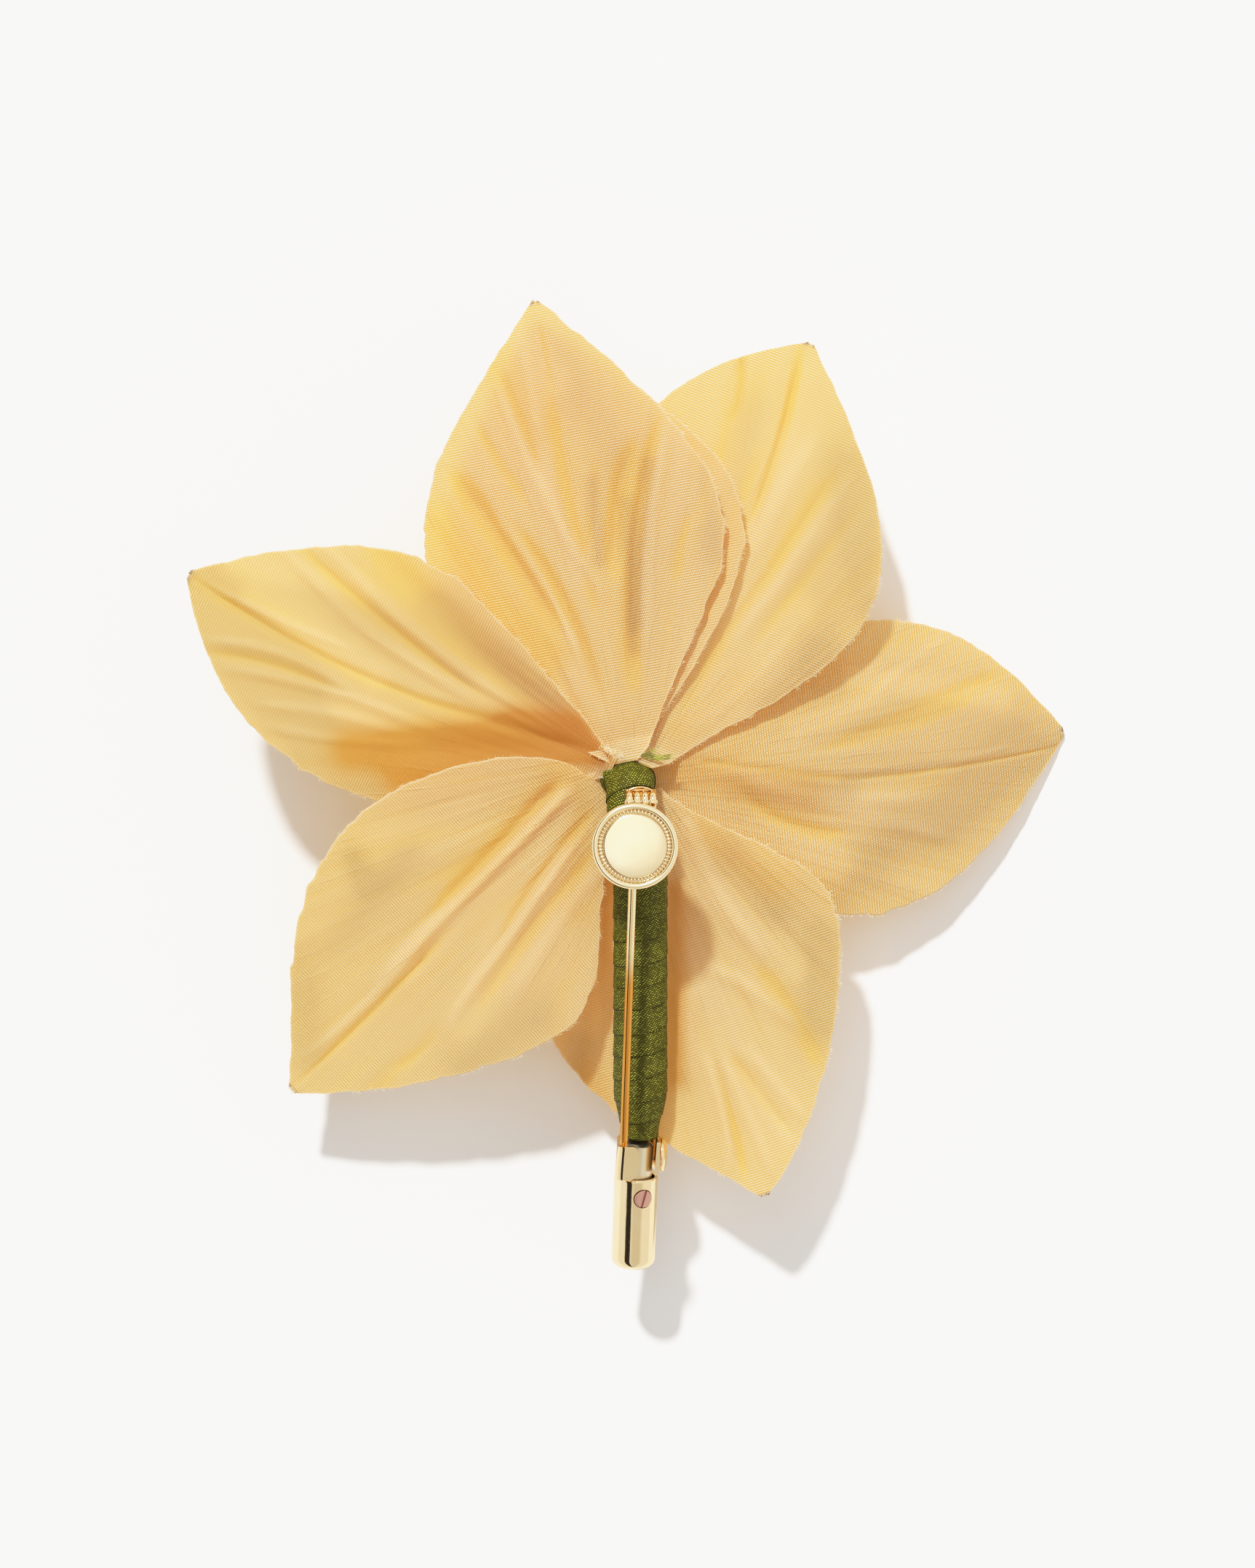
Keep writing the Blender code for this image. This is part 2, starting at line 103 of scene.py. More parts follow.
class Nodes:
    """A node tree that is filled by add(type, settings, sockets)."""

    def __init__(self, tree):
        self.tree = tree
        tree.nodes.clear()

    def add(self, kind, settings=None, sockets=None, out=0):
        """A new node. Gives back one output, a list where out is a tuple, or a node that has no outputs."""
        node = self.tree.nodes.new(kind)
        for name, value in (settings or {}).items():
            setattr(node, name, value)
        for name, value in (sockets or {}).items():
            socket = node.inputs[name]
            if isinstance(value, Value):
                self.tree.links.new(value.socket, socket)
            elif socket.type == "RGBA" and len(value) == 3:
                socket.default_value = (*value, 1)
            else:
                socket.default_value = value
        if isinstance(out, tuple):
            return [Value(self, node.outputs[name]) for name in out]
        return Value(self, node.outputs[out]) if len(node.outputs) else node

    def mix(self, factor, one, two, blend="MIX"):
        """Two colours mixed by a factor."""
        settings = {"data_type": "RGBA", "blend_type": blend}
        return self.add("ShaderNodeMix", settings, {0: factor, 6: one, 7: two}, out=2)

    def tinted(self, tone, tint):
        """A colour multiplied by another."""
        return self.mix(1.0, tone, tint, "MULTIPLY")

    def between(self, value, low, high, smooth=True):
        """0 at low, 1 at high, also where high is the smaller of the two."""
        kind = "SMOOTHSTEP" if smooth else "LINEAR"
        return self.add("ShaderNodeMapRange", {"interpolation_type": kind}, {0: value, 1: low, 2: high})

    def noise(self, vector, scale, detail=2.0):
        return self.add("ShaderNodeTexNoise", {}, {"Vector": vector, "Scale": scale, "Detail": detail})

    def attribute(self, name):
        """A field that is stored on the mesh."""
        return self.add("ShaderNodeAttribute", {"attribute_name": name}, out="Fac")

    def bump(self, strength, distance, height):
        sockets = {"Strength": strength, "Distance": distance, "Height": height}
        return self.add("ShaderNodeBump", {}, sockets)

    def split(self, vector):
        return self.add("ShaderNodeSeparateXYZ", {}, {0: vector}, out=(0, 1, 2))

    def vector(self, x, y, z):
        return self.add("ShaderNodeCombineXYZ", {}, {0: x, 1: y, 2: z})

    def vectors(self, operation, one, two=(0.0, 0.0, 0.0)):
        return self.add("ShaderNodeVectorMath", {"operation": operation}, {0: one, 1: two})

    def scaled(self, vector, factor):
        return self.add("ShaderNodeVectorMath", {"operation": "SCALE"}, {0: vector, "Scale": factor})


def wave(value):
    """A sine from 0 to 1 with one crest in each step of 1, and its highest point at a quarter."""
    return (value * TURN).math("SINE") * 0.5 + 0.5


def lane_wave(value):
    """The same wave with its lowest point on whole numbers."""
    return (value * TURN - 0.5 * math.pi).math("SINE") * 0.5 + 0.5


def finish(name):
    """A new material and its node tree, with the Object coordinates that most patterns read."""
    material = bpy.data.materials.new(name)
    material.use_nodes = True
    nodes = Nodes(material.node_tree)
    place = nodes.add("ShaderNodeTexCoord", out="Object")
    return material, nodes, place


def show(nodes, shader):
    nodes.add("ShaderNodeOutputMaterial", {}, {"Surface": shader})


# %% [markdown]
# ## The cut petals
#
# Each petal is one piece of cloth, cut out, stiffened and pressed between hot moulds that give it veins and
# folds. Its outline is two Bezier edges either side of a middle line, and its height runs from the neck to
# the tip in a bowed line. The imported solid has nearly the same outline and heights, and the cloth adds the
# finer relief.

# %% Petal sizes in millimetres
NECK = (0.3, 0.4)
ROOT_RADIUS = 3.45
TIP_HALF = 0.55
NARROWEST = 0.3
STEEPEST = 0.45
PETAL_BASE = 17.0
LAYER = 0.68
HEIGHT_POWER = 1.15
LIFT_AT, LIFT_POWER = 16.0, 1.7
CLOTH_THICK = 0.2
CLOTH_START = 1.75

# Direction and length of the middle line, layer at the neck, height of the tip, bow of the middle line, lift
# of the left and right edge, half widths at the root, and the handles of the two edge curves. Some petals
# also say where the cloth starts, how far its base climbs and how much faster a torn base narrows.
PETALS = {
    "petal_right": dict(
        azimuth=6.3, length=52.0, layer=0, tip=0.5, bow=1.6, lift=(-1.2, -2.2), root=(2.7, 1.5),
        left=((12.1, 15.4), (28.7, 16.6), (38.7, 21.2)),
        right=((14.3, 18.7), (27.6, 23.9), (37.0, 20.0)),
    ),
    "petal_upper_right": dict(
        azimuth=67.6, length=55.5, layer=1, tip=15.2, bow=-0.6, lift=(-2.2, -0.9), root=(1.3, 3.3),
        left=((25.1, 14.7), (28.1, 20.4), (46.0, 18.1)),
        right=((18.5, 13.9), (28.6, 27.3), (40.1, 17.9)),
        start=2.3, climb=4.0, torn=0.9,
    ),
    "petal_bottom": dict(
        azimuth=-72.0, length=51.3, layer=1, tip=14.0, bow=-1.1, lift=(0.2, -6.2), root=(3.9, 3.9),
        left=((22.5, 21.4), (12.7, 22.1), (40.3, 16.3)),
        right=((3.6, 17.9), (29.7, 26.4), (34.8, 15.4)),
    ),
    "petal_top_under": dict(
        azimuth=101.6, length=55.1, layer=2, tip=18.5, bow=-0.4, lift=(-1.6, 0.0), root=(3.0, 2.3),
        left=((13.0, 14.6), (33.4, 19.9), (34.3, 17.5)),
        right=((18.0, 15.5), (28.2, 29.3), (37.8, 16.6)),
    ),
    "petal_top": dict(
        azimuth=101.2, length=57.1, layer=3, tip=19.6, bow=0.2, lift=(-1.4, 0.2), root=(3.2, 2.8),
        left=((10.6, 13.4), (34.4, 28.9), (40.2, 15.7)),
        right=((24.3, 15.2), (24.5, 22.5), (37.1, 17.2)),
        start=2.2, climb=3.0, torn=0.8,
    ),
    "petal_left": dict(
        azimuth=155.0, length=56.5, layer=4, tip=25.8, bow=-1.2, lift=(-1.6, 0.3), root=(1.3, 2.1),
        left=((20.9, 18.5), (28.2, 14.4), (43.8, 20.1)),
        right=((28.5, 14.2), (30.2, 13.8), (38.1, 16.7)),
        start=2.5, climb=2.7,
    ),
    "petal_lower_left": dict(
        azimuth=-137.7, length=54.0, layer=5, tip=11.2, bow=0.8, lift=(-0.3, 2.6), root=(1.3, 3.9),
        left=((25.9, 17.4), (13.8, 22.4), (40.7, 14.4)),
        right=((3.6, 14.4), (34.8, 27.3), (37.6, 16.5)),
    ),
}


def smooth_step(low, high, x):
    t = np.clip((x - low) / (high - low), 0, 1)
    return t * t * (3 - 2 * t)


def bezier(handles, steps):
    points = np.array(handles, float)
    n = len(points) - 1
    u = np.linspace(0, 1, steps)
    return sum(comb(n, k) * (u**k * (1 - u) ** (n - k))[:, None] * points[k] for k in range(n + 1))


def half_width(petal, side, r):
    """Distance from the middle line to the cut edge. side 0 is the left edge, 1 the right."""
    root = (ROOT_RADIUS, petal["root"][side])
    handles = [root, *petal[("left", "right")[side]], (petal["length"], TIP_HALF)]
    edge = bezier(handles, 400)
    slope = min(STEEPEST, (handles[1][1] - root[1]) / (handles[1][0] - root[0])) + petal.get("torn", 0)
    inner = np.maximum(root[1] + slope * (r - ROOT_RADIUS), NARROWEST)
    outer = np.interp(r, np.maximum.accumulate(edge[:, 0]), edge[:, 1])
    return np.where(r < ROOT_RADIUS, inner, outer)


def petal_height(petal, r, s):
    """Height of the middle of the cloth, r along the petal and s to the left of its middle line."""
    t = (np.maximum(r, ROOT_RADIUS) - ROOT_RADIUS) / (petal["length"] - ROOT_RADIUS)
    root = PETAL_BASE + LAYER * petal["layer"]
    lift = np.where(s > 0, petal["lift"][0], petal["lift"][1])
    middle = root + (petal["tip"] - root) * t**HEIGHT_POWER + petal["bow"] * 4 * t * (1 - t)
    return middle + lift * (np.abs(s) / LIFT_AT) ** LIFT_POWER


# %% [markdown]
# ## Pressed creases
#
# The moulds press a midrib and a fan of grooves and ridges into each petal, and handling adds softer folds.
# A crease is a line on the flat petal with a sideways bow, a height (below zero is a groove) and a half
# width. Adding up smooth bumps along such lines keeps the cloth continuous, as real pressed cloth is.

# %% Creases: start r and s, end r and s, bow, height, half width
CREASE_DEPTH = 2.3
FAN_ORIGIN = 6.0
CREASES = {
    "petal_top": [
        (47, 0, 54, 0, 0, -0.1, 0.5), (20, 5, 37.5, 12.5, -0.3, -0.45, 1.6),
        (10, 1.5, 30, 6.5, -1, -0.3, 0.9), (15, 2.5, 32.5, 9, -0.4, 0.2, 1),
        (35, 6, 44, 9.5, 0, -0.1, 1), (24.5, 0, 48, 6, 0.7, 0.25, 0.9),
        (37, 3.5, 50, 6, -0.3, -0.15, 0.9), (20, 0, 46, 0.5, 0.4, -0.15, 1),
        (28, -0.5, 37, -3, -0.3, -0.1, 0.9), (25, -3, 38, -7.5, 0.6, -0.35, 1.4),
        (12, -3, 38, -10, 1, -0.4, 1.3), (16, -5, 38, -11.5, 0.7, 0.2, 1.2),
        (22, -10, 30, -13.5, 0.4, -0.1, 1.2), (42, 2.5, 52, 2.5, 0, 0.1, 0.9),
    ],
    "petal_upper_right": [
        (44, 5, 51, 7, -0.4, -0.25, 0.6), (35, -1.5, 53, 0.5, -0.5, -0.4, 0.75),
        (26, -5.5, 42, -8.5, 0, -0.2, 1.2), (29, -3, 45, -4.5, 0, 0.15, 1.2),
        (20, -5, 42, -10.5, -0.2, 0.15, 1.2), (20, -7, 40, -13, -0.2, -0.1, 1.2),
        (37, 4.5, 45, 6, -0.2, -0.1, 1), (9, -5, 22, -11, -0.2, 0.1, 1.2),
        (10, -2.5, 26, -5, 0, -0.15, 1),
    ],
    "petal_right": [
        (25, -2.5, 51, -1.5, -0.6, -0.15, 0.35), (8, 1.5, 25, -2.5, 0, -0.1, 0.6),
        (38, -2, 45, -1, 0, 0.1, 0.5), (30, 7, 40, 13, 0.3, 0.1, 0.9),
        (27, 2.5, 45, 8, -0.2, -0.15, 1.3), (14, -1.5, 32, -6, -1.3, 0.2, 1.5),
        (13, -3, 24, -9, -1.2, -0.2, 1.2), (25, -7, 36, -11, 0.5, 0.1, 1.2),
        (23, 1.5, 42, 5.5, -0.7, -0.1, 1),
    ],
    "petal_left": [
        (24, 1.5, 54, 0.5, 1, -0.3, 0.7), (5, -1, 24, 1.5, -0.2, -0.25, 1),
        (37, 0, 53, 0, 0.3, 0.15, 0.6), (35, 4, 51, 6, -1.2, 0.25, 0.8),
        (26, 4.5, 48, 8, -0.7, 0.25, 0.8), (28, 6.5, 42, 10, -0.5, 0.15, 0.8),
        (25, 7, 40, 12, 0.4, 0.15, 0.7), (36, 5, 50, 7, -0.7, -0.15, 0.7),
        (22, -1, 47, -7, 1.2, 0.25, 1), (16, -2.5, 43, -9.5, 1, 0.25, 1),
        (22, -2, 45, -8, 0.4, -0.2, 0.8), (14, -4, 38, -11.5, 0.8, -0.3, 2.4),
        (9, 0, 25, 7, 0.3, -0.4, 2.6),
    ],
    "petal_lower_left": [
        (5, -4, 35, -2.5, 0, 0.5, 1.2), (6, -5.5, 27, -4, 0, -0.4, 1.2),
        (30, -1, 51, 0, 0.2, -0.25, 0.6), (30, -2.5, 49, -1.5, 0.5, 0.2, 0.8),
        (4, -0.5, 25, 4, -0.5, -0.35, 1), (8, 0.5, 34, 6.5, 0, 0.3, 1),
        (10, 3.5, 30, 7.5, -0.4, -0.2, 1), (9, 5, 27, 9.5, -0.2, 0.15, 1.3),
        (35, 6.5, 43, 6.5, 0.5, -0.1, 1),
    ],
    "petal_bottom": [
        (5, 5, 23, 8, -1.4, 0.3, 1.5), (24, 2.5, 34, 10, 0.4, 0.15, 1.2),
        (34, -1.5, 47, -3, 0.5, 0.2, 1), (35, 0.5, 49, 1.5, 0, 0.2, 1),
        (35, -1, 48, -1.5, 0.2, -0.2, 0.8), (35, 1.5, 45, 5, 0, -0.2, 0.9), (35, 3.5, 44, 7, 0, 0.15, 1),
        (26, 8, 38, 10.5, 0.5, -0.15, 1.2), (25, -0.5, 36, -5, 0, 0.2, 1.2),
    ],
    "petal_top_under": [],
}


def beside_line(r, s, r0, s0, r1, s1):
    """How far each point lies along a line and to its left, and the line's length."""
    length = math.hypot(r1 - r0, s1 - s0)
    ahead, left = (r1 - r0) / length, (s1 - s0) / length
    return (r - r0) * ahead + (s - s0) * left, (s - s0) * ahead - (r - r0) * left, length


def creases(name, r, s):
    """Height that the creases add at r and s."""
    total = np.zeros_like(r)
    for *line, bow, height, width in CREASES[name]:
        along, side, length = beside_line(r, s, *line)
        along = along / length
        middle = bow * 4 * along * (1 - along)
        ends = smooth_step(-0.2, 0.18, along) * (1 - smooth_step(0.8, 1.2, along))
        total += height * ends * np.exp(-(((side - middle) / (0.7 * width)) ** 2))
    return total * smooth_step(4.0, 9.0, r)


def fan(r, s, rng):
    """Fine veins that spread from the root like a fan, uneven in strength."""
    angle = np.arctan2(s, r + FAN_ORIGIN)
    total = np.zeros_like(r)
    for waves in (31, 47, 74, 118):
        shift, drift = rng.uniform(0, 6.28), rng.uniform(-0.08, 0.08)
        strength = 0.55 + 0.45 * np.sin(r * rng.uniform(0.12, 0.3) + rng.uniform(0, 6.28))
        total += np.sin(angle * waves + shift + drift * r) * strength**2 * 3.2 / waves
    return total * smooth_step(5, 16, r)


# %% [markdown]
# ## Painted light and shade
#
# Yellow marks paint the glow of light bounced between petals and into folds, and orange marks paint the
# deep shade where two petals touch near the neck and where the stem lies on the cloth. Shading marks paint
# softer brownish shade, and below zero they paint paler places as light. Each
# mark is a line on the petal with a width and a strength.

# %% Painted marks: start r and s, end r and s, width, yellow bounce light, orange shade
BOUNCE_AND_SHADE_MARKS = {
    "petal_top": [
        (34, 16, 16, 8, 3, 1, 0), (18, 9, 6, 1, 3, 1.2, 0.1), (36, 12, 20, 5, 1, 0.7, 0),
        (51, 6, 43, 2.5, 2.5, 0.3, 0.1), (37, -1.5, 15, -1.5, 3, 0.25, 0),
    ],
    "petal_upper_right": [
        (49, 4, 40, 4, 1.5, 0.3, 0.1), (18, -5, 30, -15, 3, 0.25, 0), (8, -3, 16, -7, 2, 0.5, 0.1),
    ],
    "petal_right": [
        (6, 0.5, 20, -4, 3, 0.5, 0.45), (11, -7, 21, -17, 3, 0.3, 0.15), (25, 10, 13, 4, 2.5, 0.3, 0.15),
    ],
    "petal_bottom": [
        (14, 1, 35, -5.5, 1.5, 0.3, 0.8), (9, 6, 17, 12, 2.5, 0.5, 0.2),
        (39, -15, 32, -16, 2.5, 0.4, 0.5),
    ],
    "petal_lower_left": [
        (5, -6, 22, -4, 2.5, 0.7, 0.1), (6, -2, 15, 7, 2, 0.4, 0.2), (15, -12, 29, -15, 3, 0.3, 0),
    ],
    "petal_left": [
        (31, 10.5, 9, -2, 3, 0.3, 1.2), (24, 10, 12, 2.5, 3, 0.2, 1.2), (36, -9, 11, -3, 4, 0.5, 0.1),
        (53, -1, 40, 3, 3, 0.4, 0), (15, 0, 4, -1, 2, 0.2, 0.9),
    ],
    "petal_top_under": [],
}

# %% Shading marks: start r and s, end r and s, width, painted shade (below zero, paler painted light)
SHADING_MARKS = {
    "petal_top": [
        (35, -2.5, 26, -1.5, 1, 0.5), (32, -6, 15, -3.5, 1, 0.6), (36, -9.5, 18, -4.5, 1, 0.5),
        (35, -15, 24, -15, 2, 0.4), (50, -1, 36, -6, 3, 0.3), (13, 4, 5, 0, 2.5, -0.8),
        (42, -14, 30, -13, 2, -0.5), (55, 3.5, 48, 0, 2, -0.5), (38, 3.5, 24, 1, 1, -0.5),
    ],
    "petal_upper_right": [
        (45, -11, 25, -14, 6, 0.45), (44, -9, 30, -18.5, 2.5, 0.5), (22, -15, 15, -12, 2.5, 0.5),
        (46, 3, 34, 1, 2, 0.4), (43, -2, 22, -4, 3, -0.5), (10, -3.5, 26, -11, 2, -0.5),
    ],
    "petal_right": [
        (30, 4, 52, 1, 10, 0.45), (31, -10, 21, -17.5, 3.5, 0.6), (46, -2, 36, -9, 3.5, 0.8),
        (12, -3, 25, -4, 2, 0.5), (25, -2.5, 51, -1.5, 0.4, 1), (28, 9, 45, 5, 1.5, -0.6),
        (10, -5, 23, -12.5, 2, -0.6), (20, 4, 30, 6.5, 1, -0.5),
    ],
    "petal_bottom": [
        (20, 15, 36, 12, 5, 0.35), (25, 15.5, 34, 13, 2.5, 0.5), (12, 8, 20, 11, 2.5, 0.5),
        (28, -15, 33, -18, 2, 0.7), (23, 1, 45, 4.5, 2.5, -0.7), (16, 6.5, 27, 11.5, 1.5, -0.6),
    ],
    "petal_lower_left": [
        (30, -6, 50, 0, 12, 0.25), (43, -10, 50, -2, 2.5, 0.6), (30, -15, 31, -12, 1.5, 0.7),
        (27, 13, 37, 12, 3, 0.5), (25, -11, 39, -9, 2, 0.4), (8, -2.5, 34, -1.5, 1.5, -0.7),
        (12, 1, 33, 7.5, 2, -0.6), (26, -15.5, 16, -10.5, 2, -0.5),
    ],
    "petal_left": [
        (35, 0, 55, 3, 9, 0.45), (55, 0, 39, 7, 3.5, 0.6), (48, 4.5, 33, 13, 3.5, 1.1),
        (31, 13, 23, 11.5, 3, 1.1), (44, -5, 23, -3, 2, 0.4), (29, -9, 11, -4, 2.5, 0.8),
        (49, -0.5, 32, 1.5, 1.5, -0.7), (52, -3.5, 38, -7, 1.5, -0.5), (38, 7, 26, 5.5, 1.5, -0.4),
    ],
    "petal_top_under": [],
}


def stroke(r, s, *mark):
    """How strongly one painted mark covers each point, from 0 to 1."""
    *line, width = mark
    along, side, length = beside_line(r, s, *line)
    past = along - np.clip(along, 0, length)
    return np.exp(-((np.hypot(past, side) / width) ** 2))


def painted_light_and_shade(name, r, s):
    """Painted bounce light and orange shade, from 0 to 1, and painted shading, from -1 where it paints
    light.
    """
    yellow_bounce_light, painted_shading = np.zeros_like(r), np.zeros_like(r)
    orange_shade = 0.1 * (1 - smooth_step(3.0, 14.0, r))
    for *mark, more_bounce_light, more_orange_shade in BOUNCE_AND_SHADE_MARKS[name]:
        covered = stroke(r, s, *mark)
        yellow_bounce_light, orange_shade = yellow_bounce_light + more_bounce_light * covered, orange_shade + more_orange_shade * covered
    for *mark, more_painted_shading in SHADING_MARKS[name]:
        painted_shading += more_painted_shading * stroke(r, s, *mark)
    return [np.clip(yellow_bounce_light, 0, 1), np.clip(orange_shade, 0, 1), np.clip(painted_shading, -1, 1)]


# %% Outlines with an uneven cut
ROWS, COLUMNS = 164, 122
CUT_NOISE = 0.07
CUT_WAVE, WAVE_POINTS = 0.11, 34


def petal_grid(name):
    """Points of the cloth's middle, their flat r and s and their distance to the cut edge."""
    petal = PETALS[name]
    rng = np.random.default_rng(sum(map(ord, name)))
    t = np.linspace(0, 1, ROWS)
    w = np.linspace(-1, 1, COLUMNS)
    u = 0.75 * w + 0.25 * w * (1.5 - 0.5 * w * w)
    start = petal.get("start", CLOTH_START)
    r = (start + t * (petal["length"] - start))[:, None] * np.ones(COLUMNS)
    soften = (0.2, 0.6, 0.2)
    cut = [np.convolve(rng.normal(0, 1, ROWS + 4), soften, "same")[2:-2] * CUT_NOISE for _ in range(2)]
    bends = np.linspace(0, 1, WAVE_POINTS)
    sway = [np.interp(t, bends, rng.normal(0, CUT_WAVE, WAVE_POINTS)) for _ in range(2)]
    uneven = smooth_step(0.02, 0.1, t)
    left, right = [half_width(petal, k, r[:, 0]) + (cut[k] + sway[k]) * uneven for k in (0, 1)]
    width = np.where(u > 0, left[:, None], right[:, None])
    s = u * width
    r[-1] += rng.normal(0, 0.06, COLUMNS)
    edge = np.minimum((1 - np.abs(u)) * width, petal["length"] - r)
    z = petal_height(petal, r, s) + CREASE_DEPTH * creases(name, r, s) + fan(r, s, rng)
    z += petal.get("climb", 0) * smooth_step(-5.0, -2.3, -r)
    a = math.radians(petal["azimuth"])
    x = NECK[0] + r * math.cos(a) - s * math.sin(a)
    y = NECK[1] + r * math.sin(a) + s * math.cos(a)
    return np.stack([x, y, z], -1), r, s, edge


def cloth_solid(name, points, thick, uv, values):
    """A closed thin solid round a grid of points, with a UV map in millimetres and point attributes."""
    rows, columns = points.shape[:2]
    along = np.gradient(points, axis=0)
    across = np.gradient(points, axis=1)
    normal = np.cross(across, along)
    normal /= np.linalg.norm(normal, axis=-1, keepdims=True)
    normal *= np.sign(normal[..., 2:].mean())
    top, under = points + normal * thick / 2, points - normal * thick / 2
    verts = row(np.concatenate([top.reshape(-1, 3), under.reshape(-1, 3)]))
    index = np.arange(rows * columns).reshape(rows, columns)
    a, b, c, d = index[:-1, :-1], index[:-1, 1:], index[1:, 1:], index[1:, :-1]
    quads = np.stack([a, b, c, d], -1).reshape(-1, 4)
    rim = np.concatenate([index[0, :-1], index[:-1, -1], index[-1, :0:-1], index[:0:-1, 0]])
    after = np.roll(rim, -1)
    count = rows * columns
    sides = np.stack([rim, rim + count, after + count, after], -1)
    if np.dot(np.cross(points[0, 1] - points[0, 0], points[1, 0] - points[0, 0]), normal[0, 0]) < 0:
        quads, sides = quads[:, ::-1], sides[:, ::-1]
    faces = np.concatenate([quads, quads[:, ::-1] + count, sides])
    mesh = bpy.data.meshes.new(name)
    mesh.vertices.add(len(verts))
    mesh.vertices.foreach_set("co", verts.ravel())
    mesh.loops.add(faces.size)
    mesh.loops.foreach_set("vertex_index", faces.ravel().astype(np.int32))
    mesh.polygons.add(len(faces))
    mesh.polygons.foreach_set("loop_start", np.arange(0, faces.size, 4, dtype=np.int32))
    mesh.polygons.foreach_set("use_smooth", np.ones(len(faces), bool))
    mesh.update(calc_edges=True)
    flat = np.concatenate([uv.reshape(-1, 2)] * 2)
    mesh.uv_layers.new(name="cloth").data.foreach_set("uv", flat[faces.ravel()].ravel().astype(np.float32))
    for label, field in values.items():
        mesh.attributes.new(label, "FLOAT", "POINT").data.foreach_set(
            "value", np.concatenate([field.ravel()] * 2).astype(np.float32))
    mesh.validate()
    return mesh


def piece(name, mesh, body, material, *nodes, slot=None):
    """One finished piece at the origin that rides on a body and stands for CAD nodes."""
    mesh.name = name
    mesh.materials.clear()
    mesh.materials.append(material)
    obj = bpy.data.objects.new(name, mesh)
    bpy.context.scene.collection.objects.link(obj)
    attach(obj, body)
    if nodes:
        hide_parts(*nodes)
    return obj


# %% [markdown]
# ## Petal cloth
#
# The cloth is a fine weave, pale yellow and a little see-through, so light passes on to what lies below. Its
# grooves are painted deeper in colour, as shade with bounced light in it, and its ridges paler, as light.
# The weave is drawn from the flat petal's own map, in millimetres: short floats in rows, each row half a
# step along, painted bright as glints, with the gaps between them painted darker as shade. The cut edge is
# pale where threads have worked loose, and the cloth is painted a deeper orange towards the neck, as shade.

# %% Cloth finish
THREAD_STEP, THREAD_ROW = 0.2, 0.295
ROW_SHIFT = 0.22
VEIN_TONE = (0.96, 0.82, 0.52)
CLOUD_TONE = (0.95, 0.80, 0.52)
# The ridge tone paints light on the relief's ridges.
RIDGE_LIGHT_TONE = (1.0, 0.90, 0.66)
# This tone paints paler places as light, and the tint below it paints shade, where the shading marks say.
PALE_LIGHT_TONE = (0.96, 0.90, 0.66)
SHADE_TINT = (0.54, 0.58, 0.56)
# The gap tint paints shade between the threads, and the float tone paints their glints.
GAP_SHADE_TINT = (0.78, 0.58, 0.30)
FLOAT_GLINT_TONE = (1.0, 0.95, 0.78)
FRAY_TONE = (0.95, 0.84, 0.62)


def woven(nodes, r, s):
    """1 on the threads' floats and 0 in the gaps, each row half a step along."""
    weft = r / THREAD_ROW
    half = weft.math("FLOOR").math("FLOORED_MODULO", 2.0) * 0.5
    warp = s / THREAD_STEP + half + weft * ROW_SHIFT
    return nodes.between(wave(warp) * lane_wave(weft), 0.0, 0.36)


def pressed_veins(nodes, r, spread):
    """Thin pale veins with one sharp side, broken here and there."""
    rank = spread * 17.0 + nodes.noise(nodes.vector(spread * 5.0, r * 0.04, 0.0), 1.0, 1.0) * 3.0
    rank = rank - rank.math("FLOOR")
    vein = nodes.between(rank, 0.38, 0.5) - nodes.between(rank, 0.5, 0.55)
    return vein * nodes.between(nodes.noise(nodes.vector(spread * 9.0, r * 0.12, 3.0), 1.0, 1.0), 0.42, 0.6)


